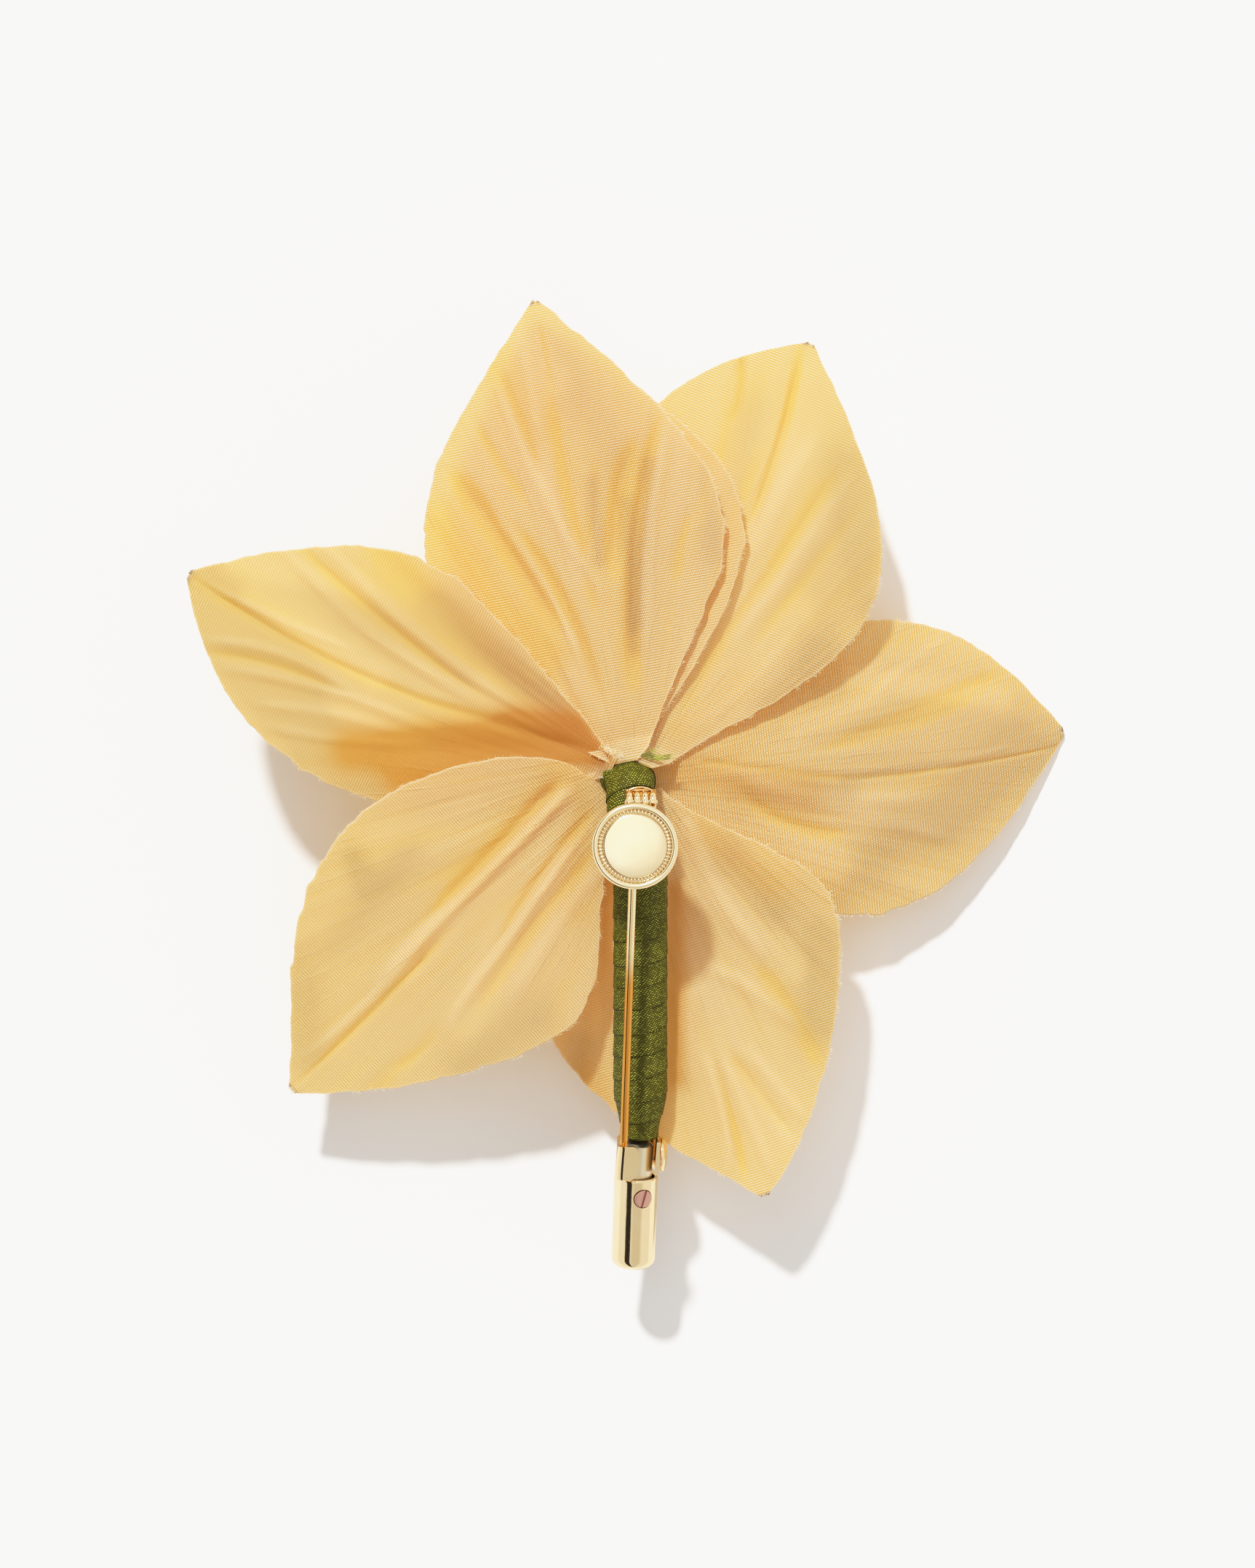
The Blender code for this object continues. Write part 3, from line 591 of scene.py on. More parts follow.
def cloth_finish(name, pale, fold_bounce_tone, orange_shade_tone, glow, through):
    """Woven cloth, see-through by the amount through. Painted light and shade, relief and cut edge come with
    the mesh.
    """
    material, nodes, place = finish(name)
    flat = nodes.add("ShaderNodeUVMap", {"uv_map": "cloth"})
    s, r, _ = nodes.split(flat)
    weave = woven(nodes, r, s)
    edge, root, yellow_bounce_light, painted_shading, relief = map(nodes.attribute, ("edge", "root", "yellow_bounce_light", "painted_shading", "relief"))
    cloud = nodes.noise(place, 160.0, 3.0)
    slub = nodes.noise(nodes.vectors("MULTIPLY", flat, (0.6, 3.4, 1.0)), 1.0, 2.0)
    spread = s.math("ARCTAN2", r + FAN_ORIGIN)
    streak = nodes.noise(nodes.vector(spread * 34.0, r * 0.05, 0.0), 1.0, 3.0)
    vein = pressed_veins(nodes, r, spread)
    # Painted bounce light, then painted shade in the grooves and the streaks' low parts, all in the fold
    # tone.
    tone = nodes.mix(yellow_bounce_light, pale, fold_bounce_tone)
    tone = nodes.mix(nodes.between(relief, 0.0, -0.3) * 0.95, tone, fold_bounce_tone)
    tone = nodes.mix(nodes.between(streak, 0.5, 0.3) * 0.35, tone, fold_bounce_tone)
    tone = nodes.mix(vein * 0.3, tone, VEIN_TONE)
    tone = nodes.mix((cloud - 0.5) * 0.5 + (slub - 0.5) * 0.3 + 0.1, tone, CLOUD_TONE)
    # Ridges are painted paler, as light.
    tone = nodes.mix(nodes.between(relief, 0.02, 0.3) * 0.55, tone, RIDGE_LIGHT_TONE)
    # The shading marks paint shade above zero and paler light below it.
    tone = nodes.mix(painted_shading * (-0.5 - cloud * 0.6), tone, PALE_LIGHT_TONE)
    tone = nodes.mix(painted_shading * (0.85 + cloud), tone, nodes.tinted(tone, SHADE_TINT))
    # The neck and the orange marks are painted deep orange, as shade.
    tone = nodes.mix(root, tone, orange_shade_tone)
    # The weave's floats are painted bright as glints, weaker in the painted shade, and its gaps darker as
    # shade.
    lit = nodes.mix(0.42 - root * 0.3, tone, FLOAT_GLINT_TONE)
    tone = nodes.mix(weave, nodes.tinted(tone, GAP_SHADE_TINT), lit)
    fray = nodes.between(edge + (slub - 0.5) * 0.35, 0.3, 0.02)
    tone = nodes.mix(fray * 0.7, tone, FRAY_TONE)
    bump = nodes.bump(1.0, 0.00015, weave * 0.3 + slub * 0.15 + streak * 1.6 + vein * 0.35)
    front = nodes.add("ShaderNodeBsdfPrincipled", {}, {
        "Base Color": tone, "Roughness": 0.62, "Sheen Weight": 0.25, "Sheen Roughness": 0.4,
        "Specular IOR Level": 0.35, "Normal": bump})
    behind = nodes.add("ShaderNodeBsdfTranslucent", {}, {"Color": glow})
    passed = (1.2 - weave * 0.35) * through
    show(nodes, nodes.add("ShaderNodeMixShader", {}, {0: passed, 1: front, 2: behind}))
    return material


PETAL_CLOTH = cloth_finish(
    "petal_cloth", pale=(0.85, 0.76, 0.43), fold_bounce_tone=(0.98, 0.74, 0.11), orange_shade_tone=(0.52, 0.25, 0.015),
    glow=(1.0, 0.72, 0.27), through=0.56)

# %% Petals in place
CLOTH_STRETCH = 1.01

for name, petal in PETALS.items():
    points, r, s, edge = petal_grid(name)
    relief = points[..., 2] - petal_height(petal, r, s)
    # The painted bounce light, orange shade and shading go on the mesh for the cloth's colour.
    yellow_bounce_light, root, painted_shading = painted_light_and_shade(name, r, s)
    fields = {"edge": edge, "yellow_bounce_light": yellow_bounce_light, "root": root, "painted_shading": painted_shading, "relief": relief}
    mesh = cloth_solid(name, points, CLOTH_THICK, np.stack([s, r], -1), fields)
    cloth = piece(name + "_cloth", mesh, "brooch", PETAL_CLOTH, name, slot="petal_cloth")
    step = np.linspace(ROOT_RADIUS, petal["length"], 200)
    wide = sum(half_width(petal, side, step).max() for side in (0, 1))
    size = (wide * MM, float(petal["length"] - r[0, 0]) * MM)
    step = np.linspace(r[0, 0], petal["length"], 400)
    mean_width = float((half_width(petal, 0, step) + half_width(petal, 1, step)).mean()) * MM
    area = min(mean_width * size[1] * CLOTH_STRETCH, size[0] * size[1])
    print(f"{name}: {size[0] * 1000:.1f} by {size[1] * 1000:.1f} mm, {len(mesh.polygons)} faces")

# %% [markdown]
# ## A tree that grows a piece
#
# Some pieces follow a rule: the trumpet is a drawn half outline carried round an axis and ruffled, and the
# ribbon follows the bent stem. Geometry Nodes suit them, because each size stays a named input. This helper
# builds the tree, runs it on a small start mesh and keeps the result as a plain mesh.


# %% Geometry Nodes helper
def grow(name, start, sizes, build, material):
    """Run the tree that build() makes on a start mesh in millimetres, and return a plain mesh in metres."""
    tree = bpy.data.node_groups.new(name, "GeometryNodeTree")
    tree.interface.new_socket("Geometry", in_out="INPUT", socket_type="NodeSocketGeometry")
    tree.interface.new_socket("Geometry", in_out="OUTPUT", socket_type="NodeSocketGeometry")
    sockets = {label: tree.interface.new_socket(label, in_out="INPUT", socket_type="NodeSocketFloat")
               for label in sizes}
    nodes = Nodes(tree)
    shape = build(nodes, *nodes.add("NodeGroupInput", out=("Geometry", *sizes)))
    shape = nodes.add("GeometryNodeRealizeInstances", {}, {0: shape})
    shape = nodes.add("GeometryNodeSetMaterial", {}, {0: shape, "Material": material})
    nodes.add("NodeGroupOutput", {}, {0: shape})
    host = bpy.data.objects.new(name, start)
    bpy.context.scene.collection.objects.link(host)
    modifier = host.modifiers.new(name, "NODES")
    modifier.node_group = tree
    for label, value in sizes.items():
        modifier[sockets[label].identifier] = value
    graph = bpy.context.evaluated_depsgraph_get()
    mesh = bpy.data.meshes.new_from_object(host.evaluated_get(graph), depsgraph=graph)
    bpy.data.objects.remove(host, do_unlink=True)
    mesh.transform(TO_PART)
    mesh.shade_smooth()
    return mesh


def ring_of(nodes, shape, points, first, count):
    """Copies of a shape turned round the Z axis, one for each point, by equal steps."""
    seeds = nodes.add("GeometryNodeMeshLine", {}, {"Count": points, "Offset": (0.0, 0.0, 0.0)})
    turn = (nodes.add("GeometryNodeInputIndex") + first) / count * TURN
    sockets = {"Points": seeds, "Instance": shape, "Rotation": nodes.vector(0.0, 0.0, turn)}
    return nodes.add("GeometryNodeInstanceOnPoints", {}, sockets)


def drawn(points):
    """A chain of edges through points in millimetres, for Mesh to Curve."""
    mesh = bpy.data.meshes.new("drawn")
    mesh.from_pydata([tuple(p) for p in points], [(k, k + 1) for k in range(len(points) - 1)], [])
    return mesh


def store(nodes, shape, name, value, kind="FLOAT", domain="POINT"):
    """The shape with a named field on it."""
    sockets = {"Geometry": shape, "Name": name, "Value": value}
    return nodes.add("GeometryNodeStoreNamedAttribute", {"data_type": kind, "domain": domain}, sockets)


# %% [markdown]
# ## Loose threads
#
# A cut across a weave frees the ends of the threads, so every petal's edge carries short pale fibres, and
# the top petal's torn base carries more. So does the green ribbon's end at the neck. One bent fibre is set
# on points by Geometry Nodes and turned outwards with some luck. Along the cut edges it is kept only in
# tufts, where a slow noise is high.


# %% Loose threads
FLOOR_CLEARANCE = 1.5
LINT_COUNT, GREEN_COUNT = 90, 70
TORN_EDGE = np.array([(-3.1, 4.2, 21.9), (-0.8, 3.1, 22.4)])
RIBBON_START = np.array([(1.3, 3.3, 21.6), (3.6, 2.8, 21.9)])


def thread_finish(name, pale, deep):
    material, nodes, place = finish(name)
    tone = nodes.mix(nodes.between(nodes.noise(place, 900.0), 0.35, 0.65), pale, deep)
    rough = 0.5 + nodes.noise(place, 4000.0) * 0.3
    show(nodes, nodes.add("ShaderNodeBsdfPrincipled", {}, {"Base Color": tone, "Roughness": rough}))
    return material


def threads(nodes, seeds, length, radius, tufts, stray):
    """One bent fibre on each seed that is kept, aimed outwards and astray."""
    place = nodes.add("GeometryNodeInputPosition")
    settings = {"data_type": "FLOAT_VECTOR"}
    outward = nodes.add("GeometryNodeInputNamedAttribute", settings, {"Name": "outward"})
    ranges = ((-1.0, 1.0), (-1.0, 1.0), (-0.4, 1.0), (0.35, 1.0))
    settings = {"data_type": "FLOAT"}
    luck = [nodes.add("FunctionNodeRandomValue", settings, {2: low, 3: high, "Seed": seed}, out=1)
            for seed, (low, high) in enumerate(ranges, 1)]
    aim = nodes.vectors("ADD", outward, nodes.vector(luck[0] * stray, luck[1] * stray, luck[2] * stray))
    rotation = nodes.add("FunctionNodeAlignRotationToVector", {"axis": "Z"}, {"Vector": aim})
    kept = (nodes.noise(place, 0.45, 1.0) + luck[3] * 0.12).math("GREATER_THAN", tufts)
    _, _, height = nodes.split(place)
    kept = kept * height.math("GREATER_THAN", FLOOR_CLEARANCE)
    bend = nodes.add("GeometryNodeCurveQuadraticBezier", {}, {
        "Resolution": 4, "Start": (0.0, 0.0, 0.0), "Middle": (0.12, 0.05, 0.55), "End": (0.4, 0.0, 0.9)})
    ring = nodes.add("GeometryNodeCurvePrimitiveCircle", {}, {"Resolution": 4, "Radius": radius / length})
    sockets = {"Curve": bend, "Profile Curve": ring, "Fill Caps": True}
    fibre = nodes.add("GeometryNodeCurveToMesh", {}, sockets)
    return nodes.add("GeometryNodeInstanceOnPoints", {}, {
        "Points": seeds, "Selection": kept, "Instance": fibre, "Rotation": rotation,
        "Scale": luck[3] * length})


def seeds(places, outward):
    """Loose points in millimetres, each with the direction its thread leaves in."""
    mesh = bpy.data.meshes.new("seeds")
    mesh.from_pydata([tuple(p) for p in places], [], [])
    field = mesh.attributes.new("outward", "FLOAT_VECTOR", "POINT")
    field.data.foreach_set("vector", np.asarray(outward, np.float32).ravel())
    return mesh


def thread_piece(name, places, outward, sizes, material, slot):
    mesh = grow("threads", seeds(places, outward), sizes, threads, material)
    return piece(name, mesh, "brooch", material, slot=slot)


def scattered(ends, share, spread):
    """Points along a short line, each a little off it."""
    return ends[0] * (1 - share) + ends[1] * share + rng.normal(0, spread, (len(share), 3))


places, outward = [], []
for name in PETALS:
    points = petal_grid(name)[0]
    rim = np.concatenate([points[:, 0], points[-1], points[::-1, -1]])
    inner = np.concatenate([points[:, 2], points[-3], points[::-1, -3]])
    away = rim[:-1] - inner[:-1]
    for share in (0.0, 0.5):
        places.append(rim[:-1] * (1 - share) + rim[1:] * share)
        outward.append(away / np.linalg.norm(away, axis=1, keepdims=True))
places, outward = np.concatenate(places), np.concatenate(outward)
PALE_THREAD = thread_finish("cut_threads", (0.96, 0.86, 0.62), (0.90, 0.68, 0.36))
GREEN_THREAD = thread_finish("ribbon_threads", (0.42, 0.42, 0.08), (0.20, 0.19, 0.03))
sizes = {"Length": 0.42, "Radius": 0.02, "Tufts": 0.56, "Stray": 1.0}
fray = thread_piece("cut_threads", places, outward, sizes, PALE_THREAD, "petal_cloth")

rng = np.random.default_rng(7)
places = scattered(TORN_EDGE, rng.uniform(0, 1, LINT_COUNT)[:, None], 0.16)
outward = rng.normal(0, 0.5, (LINT_COUNT, 3)) + (0.3, 0.5, 0.5)
sizes = {"Length": 0.9, "Radius": 0.025, "Tufts": 0.0, "Stray": 1.0}
lint = thread_piece("torn_threads", places, outward, sizes, PALE_THREAD, "petal_cloth")

share = rng.uniform(0, 1, GREEN_COUNT)[:, None]
places = scattered(RIBBON_START, share, 0.12)
outward = np.array([2.2, 0.5, 0.2]) * (0.4 + share)
sizes = {"Length": 2.6, "Radius": 0.035, "Tufts": 0.0, "Stray": 0.5}
strands = thread_piece("ribbon_threads", places, outward, sizes, GREEN_THREAD, "ribbon")
print("threads:", len(fray.data.polygons), len(lint.data.polygons), len(strands.data.polygons), "faces")

# %% [markdown]
# ## The trumpet
#
# The daffodil's cup is one strip of deeper cloth, gathered at the neck and pressed into a ruffled rim that
# the flower stands on. A grid gives angle and place along the outline, and one Set Position carries each
# point round the axis with the waves added. Solidify then gives the cloth its thickness.

# %% Trumpet
TRUMPET_HANDLES = [(0.2, 14.4), (2.6, 14.4), (9.6, 15.0), (8.2, 9.0), (9.4, 1.2), (12.5, -0.2), (20.0, 1.0)]
TRUMPET_LINE = bezier(TRUMPET_HANDLES, 60)
TRUMPET_STEPS = np.linalg.norm(np.diff(TRUMPET_LINE, axis=0), axis=1)
TRUMPET_LENGTH = float(TRUMPET_STEPS.sum())
TRUMPET_THICK = 0.22
MEAN_RADIUS, RIM_DIAMETER = 11.0, 40.4
FLARE_FROM, FLARE_TO = 8.0, 20.0


def trumpet(nodes, line, length, ruffles, depth, pleats, low):
    """The outline carried round the axis, pleated at the neck and ruffled at the rim."""
    sockets = {"Size X": 1.0, "Size Y": 1.0, "Vertices X": 321, "Vertices Y": 90}
    grid = nodes.add("GeometryNodeMeshGrid", {}, sockets)
    x, y, _ = nodes.split(nodes.add("GeometryNodeInputPosition"))
    turn, along = (x + 0.5) * TURN, y + 0.5
    cosine, sine = turn.math("COSINE"), turn.math("SINE")
    flat = nodes.vector(turn * MEAN_RADIUS, along * length, 0.0)
    grid = store(nodes, grid, "cloth", flat, "FLOAT2", "CORNER")
    rim = (1 - along) * length
    grid = store(nodes, grid, "edge", rim)
    curve = nodes.add("GeometryNodeMeshToCurve", {}, {0: line})
    sockets = {"Curves": curve, "Factor": along}
    spot = nodes.add("GeometryNodeSampleCurve", {"mode": "FACTOR"}, sockets, out="Position")
    r0, _, z0 = nodes.split(spot)
    flare = nodes.between(r0, FLARE_FROM, FLARE_TO, smooth=False)
    ruffle = 0 - (turn * ruffles).math("COSINE")
    drift = nodes.noise(nodes.vector(cosine * 2.0, sine * 2.0, along), 1.2)
    pleat = (turn * pleats + drift * 9.0).math("SINE") * nodes.between(along, 0.12, 0.35) * 0.13
    # The pleats' relief paints shade in their grooves and light on their ridges, and the cup is painted
    # deeper orange towards the neck, as shade.
    grid = store(nodes, grid, "relief", pleat - flare * 0.1)
    grid = store(nodes, grid, "root", 1 - nodes.between(along, 0.05, 0.6))
    r = r0 + flare * flare * ruffle * 0.7 + pleat * (1 - flare)
    uneven = nodes.between(rim, 0.6, 0.0) * (drift - 0.5) * 0.5
    z = z0 + flare**1.5 * (ruffle * depth + 0.65) + pleat * flare * 1.3 + uneven
    spot = nodes.vector(r * cosine + NECK[0], r * sine + NECK[1], z.math("MAXIMUM", low))
    shape = nodes.add("GeometryNodeSetPosition", {}, {"Geometry": grid, "Position": spot})
    return nodes.add("GeometryNodeMergeByDistance", {}, {"Geometry": shape, "Distance": 0.002})


TRUMPET_CLOTH = cloth_finish(
    "trumpet_cloth", pale=(0.88, 0.50, 0.10), fold_bounce_tone=(0.86, 0.42, 0.05), orange_shade_tone=(0.85, 0.36, 0.03),
    glow=(0.9, 0.5, 0.1), through=0.4)
start = drawn([(r, 0, z) for r, z in TRUMPET_LINE])
sizes = {"Length": TRUMPET_LENGTH, "Ruffles": 8.0, "Depth": 1.5, "Pleats": 40.0, "Low": 0.28}
mesh = grow("trumpet", start, sizes, trumpet, TRUMPET_CLOTH)
cup = piece("trumpet_cloth", mesh, "brooch", TRUMPET_CLOTH, "corona", slot="corona_cloth")
wall = cup.modifiers.new("thickness", "SOLIDIFY")
wall.thickness, wall.offset = TRUMPET_THICK * MM, 0
middle = (TRUMPET_LINE[1:, 0] + TRUMPET_LINE[:-1, 0]) / 2
area = float((TRUMPET_STEPS * middle).sum()) * TURN
print(f"trumpet: {TRUMPET_LENGTH:.1f} mm of cloth along its outline, {len(cup.data.polygons)} faces")

# %% [markdown]
# ## Stamens and core
#
# Inside the cup six stalks with long heads stand round a taller middle one, moulded in one with their foot.
# One stalk is swept once and set round a circle by Geometry Nodes, and grains of pollen are scattered over
# the heads. All of it is hidden from above, but the cup is open to anyone who picks the flower up.


# %% Turned and swept shapes
def closed(bm):
    """The mesh of a bmesh in millimetres, its doubles merged and its faces pointing outwards."""
    bmesh.ops.remove_doubles(bm, verts=bm.verts, dist=1e-4)
    bmesh.ops.recalc_face_normals(bm, faces=bm.faces)
    mesh = bpy.data.meshes.new("shape")
    bm.to_mesh(mesh)
    bm.free()
    return mesh


def turned(profile, sides, place=Matrix()):
    """A shape turned on a lathe, from its half outline of (radius, height)."""
    bm = bmesh.new()
    turns = np.arange(sides) * TURN / sides
    loops = [[bm.verts.new((r * math.cos(q), r * math.sin(q), z)) for q in turns]
             if r > 1e-6 else [bm.verts.new((0, 0, z))] * sides for r, z in profile]
    for one, two in zip(loops, loops[1:]):
        for k in range(sides):
            corners = dict.fromkeys((one[k], one[(k + 1) % sides], two[(k + 1) % sides], two[k]))
            if len(corners) > 2:
                bm.faces.new(corners)
    bmesh.ops.transform(bm, matrix=place, verts=bm.verts)
    return closed(bm)


def swept(path, radii, sides, flat=1.0):
    """A closed rod along a path. flat below 1 squeezes its section sideways."""
    path = [Vector(p) for p in path]
    bm = bmesh.new()
    rings, side = [], None
    for k, point in enumerate(path):
        ahead = (path[min(k + 1, len(path) - 1)] - path[max(k - 1, 0)]).normalized()
        side = Vector((1, 0, 0)) if side is None and abs(ahead.x) < 0.9 else side or Vector((0, 1, 0))
        side = (side - ahead * side.dot(ahead)).normalized()
        up = ahead.cross(side)
        rings.append([bm.verts.new(point + (side * math.cos(q) * flat + up * math.sin(q)) * radii[k])
                      for q in np.arange(sides) * TURN / sides])
    for one, two in zip(rings, rings[1:]):
        for k in range(sides):
            bm.faces.new((one[k], one[(k + 1) % sides], two[(k + 1) % sides], two[k]))
    bm.faces.new(rings[0])
    bm.faces.new(rings[-1])
    return closed(bm)


def block(low, high, round_by=0.1):
    """A rectangular block with rounded edges."""
    bm = bmesh.new()
    bmesh.ops.create_cube(bm, size=1)
    size = Vector(high) - Vector(low)
    for v in bm.verts:
        v.co = Vector([v.co[k] * size[k] for k in range(3)]) + (Vector(low) + Vector(high)) / 2
    bmesh.ops.bevel(bm, geom=bm.edges, offset=round_by, segments=3, affect="EDGES", profile=0.5)
    return closed(bm)


def together(meshes, angle=40):
    """Several millimetre meshes as one mesh in metres, with smooth shading between the sharp edges."""
    bm = bmesh.new()
    for mesh in meshes:
        bm.from_mesh(mesh)
        bpy.data.meshes.remove(mesh)
    mesh = bpy.data.meshes.new("shape")
    bm.to_mesh(mesh)
    bm.free()
    mesh.transform(TO_PART)
    mesh.shade_smooth()
    mesh.set_sharp_from_angle(angle=math.radians(angle))
    return mesh


def in_millimetres(mesh):
    """A grown mesh taken back from metres, so that it can be joined with drawn shapes."""
    mesh.transform(TO_PART.inverted())
    return mesh


# %% Stamens
AT_NECK = Matrix.Translation((*NECK, 0))
HEADS_BELOW = 7.4
POLLEN_RADIUS = 0.07


def moulded_finish(name, pale, deep):
    material, nodes, place = finish(name)
    grain = nodes.noise(place, 2500.0, 3.0)
    patch = nodes.noise(place, 320.0)
    tone = nodes.mix(nodes.between(patch, 0.35, 0.65), pale, deep)
    bump = nodes.bump(0.4, 0.00006, grain)
    sockets = {"Base Color": tone, "Roughness": 0.5 + grain * 0.2, "Normal": bump}
    show(nodes, nodes.add("ShaderNodeBsdfPrincipled", {}, sockets))
    return material


def stamen_ring(nodes, stalk, count, first, grains):
    """Stalks round the neck, with pollen on their heads."""
    ring = nodes.add("GeometryNodeRealizeInstances", {}, {0: ring_of(nodes, stalk, 6, first, count)})
    _, _, z = nodes.split(nodes.add("GeometryNodeInputPosition"))
    sockets = {"Mesh": ring, "Selection": z.math("LESS_THAN", HEADS_BELOW), "Density": grains, "Seed": 4}
    dust = nodes.add("GeometryNodeDistributePointsOnFaces", {}, sockets, out="Points")
    grain = nodes.add("GeometryNodeMeshIcoSphere", {}, {"Radius": POLLEN_RADIUS, "Subdivisions": 1})
    dust = nodes.add("GeometryNodeInstanceOnPoints", {}, {"Points": dust, "Instance": grain})
    both = nodes.tree.nodes.new("GeometryNodeJoinGeometry")
    for part in (ring, dust):
        nodes.tree.links.new(part.socket, both.inputs[0])
    sockets = {0: Value(nodes, both.outputs[0]), "Translation": (*NECK, 0.0)}
    return nodes.add("GeometryNodeTransform", {}, sockets)


STAMEN_FINISH = moulded_finish("stamen_moulding", (0.85, 0.66, 0.20), (0.74, 0.50, 0.10))
t = np.linspace(0, 1, 25)
stalk_radii = np.interp(t, (0, 0.6, 0.66, 0.78, 0.93, 1), (0.38, 0.38, 0.62, 0.75, 0.7, 0.3))
stalk = swept(np.stack([1.3 + 1.5 * t**1.5, 0 * t, 13.2 - 8.8 * t], -1), stalk_radii, 14)
ring = grow("stamen_ring", stalk, {"Count": 6.0, "First": 0.3, "Grains": 9.0}, stamen_ring, STAMEN_FINISH)
foot = turned([(0, 14.3), (2.1, 14.3), (2.3, 14.1), (2.3, 13.2), (1.6, 12.3), (0, 12.3)], 40, AT_NECK)
style_heights = (13.2, 8.0, 4.4, 4.0, 3.6, 3.2, 2.9, 2.65, 2.5)
style_radii = [0.5, 0.5, 0.5, 0.72, 0.95, 1.05, 1.05, 0.9, 0.6]
style = swept([(*NECK, z) for z in style_heights], style_radii, 24)
stamens = piece("stamen_cluster", together([in_millimetres(ring), foot, style]), "brooch", STAMEN_FINISH,
                "stamens", slot="stamen_moulding")

# %% Core
CORE_FINISH = moulded_finish("core_moulding", (0.45, 0.47, 0.18), (0.36, 0.40, 0.12))
core_line = [(0.95, 15.1), (1.05, 14.95), (4.5, 14.95), (4.7, 15.0), (5.0, 15.35), (4.95, 15.5),
             (3.3, 16.35), (3.0, 16.45), (1.05, 16.45), (0.95, 16.3), (0.95, 15.1)]
core = piece("core_plug", together([turned(core_line, 64, AT_NECK)]), "brooch", CORE_FINISH, "flower_core",
             slot="core_moulding")
print("stamens:", len(stamens.data.polygons), "faces; core:", len(core.data.polygons), "faces")

# %% [markdown]
# ## Stem and ribbon
#
# A metal rod runs from the flower's core, bends over and goes down into the end sleeve. Green satin ribbon
# is wound over it from the neck downwards, each turn lapping over the next, so the lower edge of every turn
# stands proud, and a thin dark line is painted along that edge as its shadow. A grid is wound along the
# path:
# one way counts turns, the other goes across the ribbon, and its own map keeps the weave running along the
# ribbon.

# %% The stem's middle line
SLOPE = math.radians(13.4)
BEND_START, BEND_RADIUS = 20.3, 3.3
RIBBON_END = -41.3
END_LEAN, LEAN_FROM = 0.034, -46.5


def stem_x(y):
    """Sideways place of the stem's middle line."""
    sway = 1.2 * (1 - smooth_step(-9.0, -2.5, y)) - 0.5 * (1 - smooth_step(-47.0, -38.0, y))
    return NECK[0] + sway - END_LEAN * np.maximum(0, LEAN_FROM - y)


def stem_z(y):
    """Height of the stem's middle line on its slope."""
    start = NECK[1] - BEND_RADIUS - BEND_RADIUS * math.sin(SLOPE)
    return BEND_START + BEND_RADIUS * math.cos(SLOPE) - (start - y) * math.tan(SLOPE)


def stem_path(z_start, y_end, steps):
    """Up the neck, round the bend and down the slope."""
    q = np.linspace(0, math.pi / 2 + SLOPE, 24)
    z = np.concatenate([np.linspace(z_start, BEND_START, 8)[:-1], BEND_START + BEND_RADIUS * np.sin(q)])
    y = np.concatenate([np.full(7, NECK[1]), NECK[1] - BEND_RADIUS + BEND_RADIUS * np.cos(q)])
    down = np.linspace(y[-1], y_end, steps + 1)[1:]
    y, z = np.concatenate([y, down]), np.concatenate([z, stem_z(down)])
    return np.stack([stem_x(y), y, z], -1)


# %% Ribbon
FLOAT_ROW, FLOAT_STEP = 0.165, 0.36
PITCH, LAP, RIBBON_THICK = 2.78, 0.5, 0.1
GIRTH = 18.0


def ribbon_finish(name):
    """Satin: short bright floats in rows along the ribbon, each row half a step along, in curving lines."""
    material, nodes, _ = finish(name)
    flat = nodes.add("ShaderNodeUVMap", {"uv_map": "cloth"})
    along, across, _ = nodes.split(flat)
    drift = nodes.noise(flat, 0.35, 2.0)
    rank = across / FLOAT_ROW + drift * 2.4
    half = rank.math("FLOOR").math("FLOORED_MODULO", 2.0) * 0.5
    column = along / FLOAT_STEP + half + drift * 1.8 + rank * 0.13
    cell = nodes.vector((column + 0.25).math("FLOOR"), rank.math("FLOOR"), 0.0)
    luck = nodes.add("ShaderNodeTexWhiteNoise", {"noise_dimensions": "3D"}, {"Vector": cell})
    patch = nodes.noise(flat, 0.55, 2.0)
    lit = wave(column) ** 0.7 * lane_wave(rank) ** 1.5
    # Painted glints on some of the floats.
    glint = nodes.between(lit, 0.35, 0.8) * nodes.between(patch * 0.6 + luck * 0.4, 0.4, 0.66)
    tone = nodes.mix(nodes.between(lit, 0.05, 0.8), (0.036, 0.030, 0.001), (0.125, 0.125, 0.006))
    tone = nodes.mix(glint, tone, (0.46, 0.49, 0.06))
    # A thin dark line painted along each turn's lower edge, as its shadow.
    tone = nodes.mix(nodes.between(nodes.attribute("edge"), 0.12, 0.03) * 0.4, tone, (0.02, 0.02, 0.004))
    bump = nodes.bump(0.8, 0.00005, lit + patch * 0.3)
    show(nodes, nodes.add("ShaderNodeBsdfPrincipled", {}, {
        "Base Color": tone, "Roughness": 0.6 - glint * 0.25, "Specular IOR Level": 0.15, "Normal": bump}))
    return material


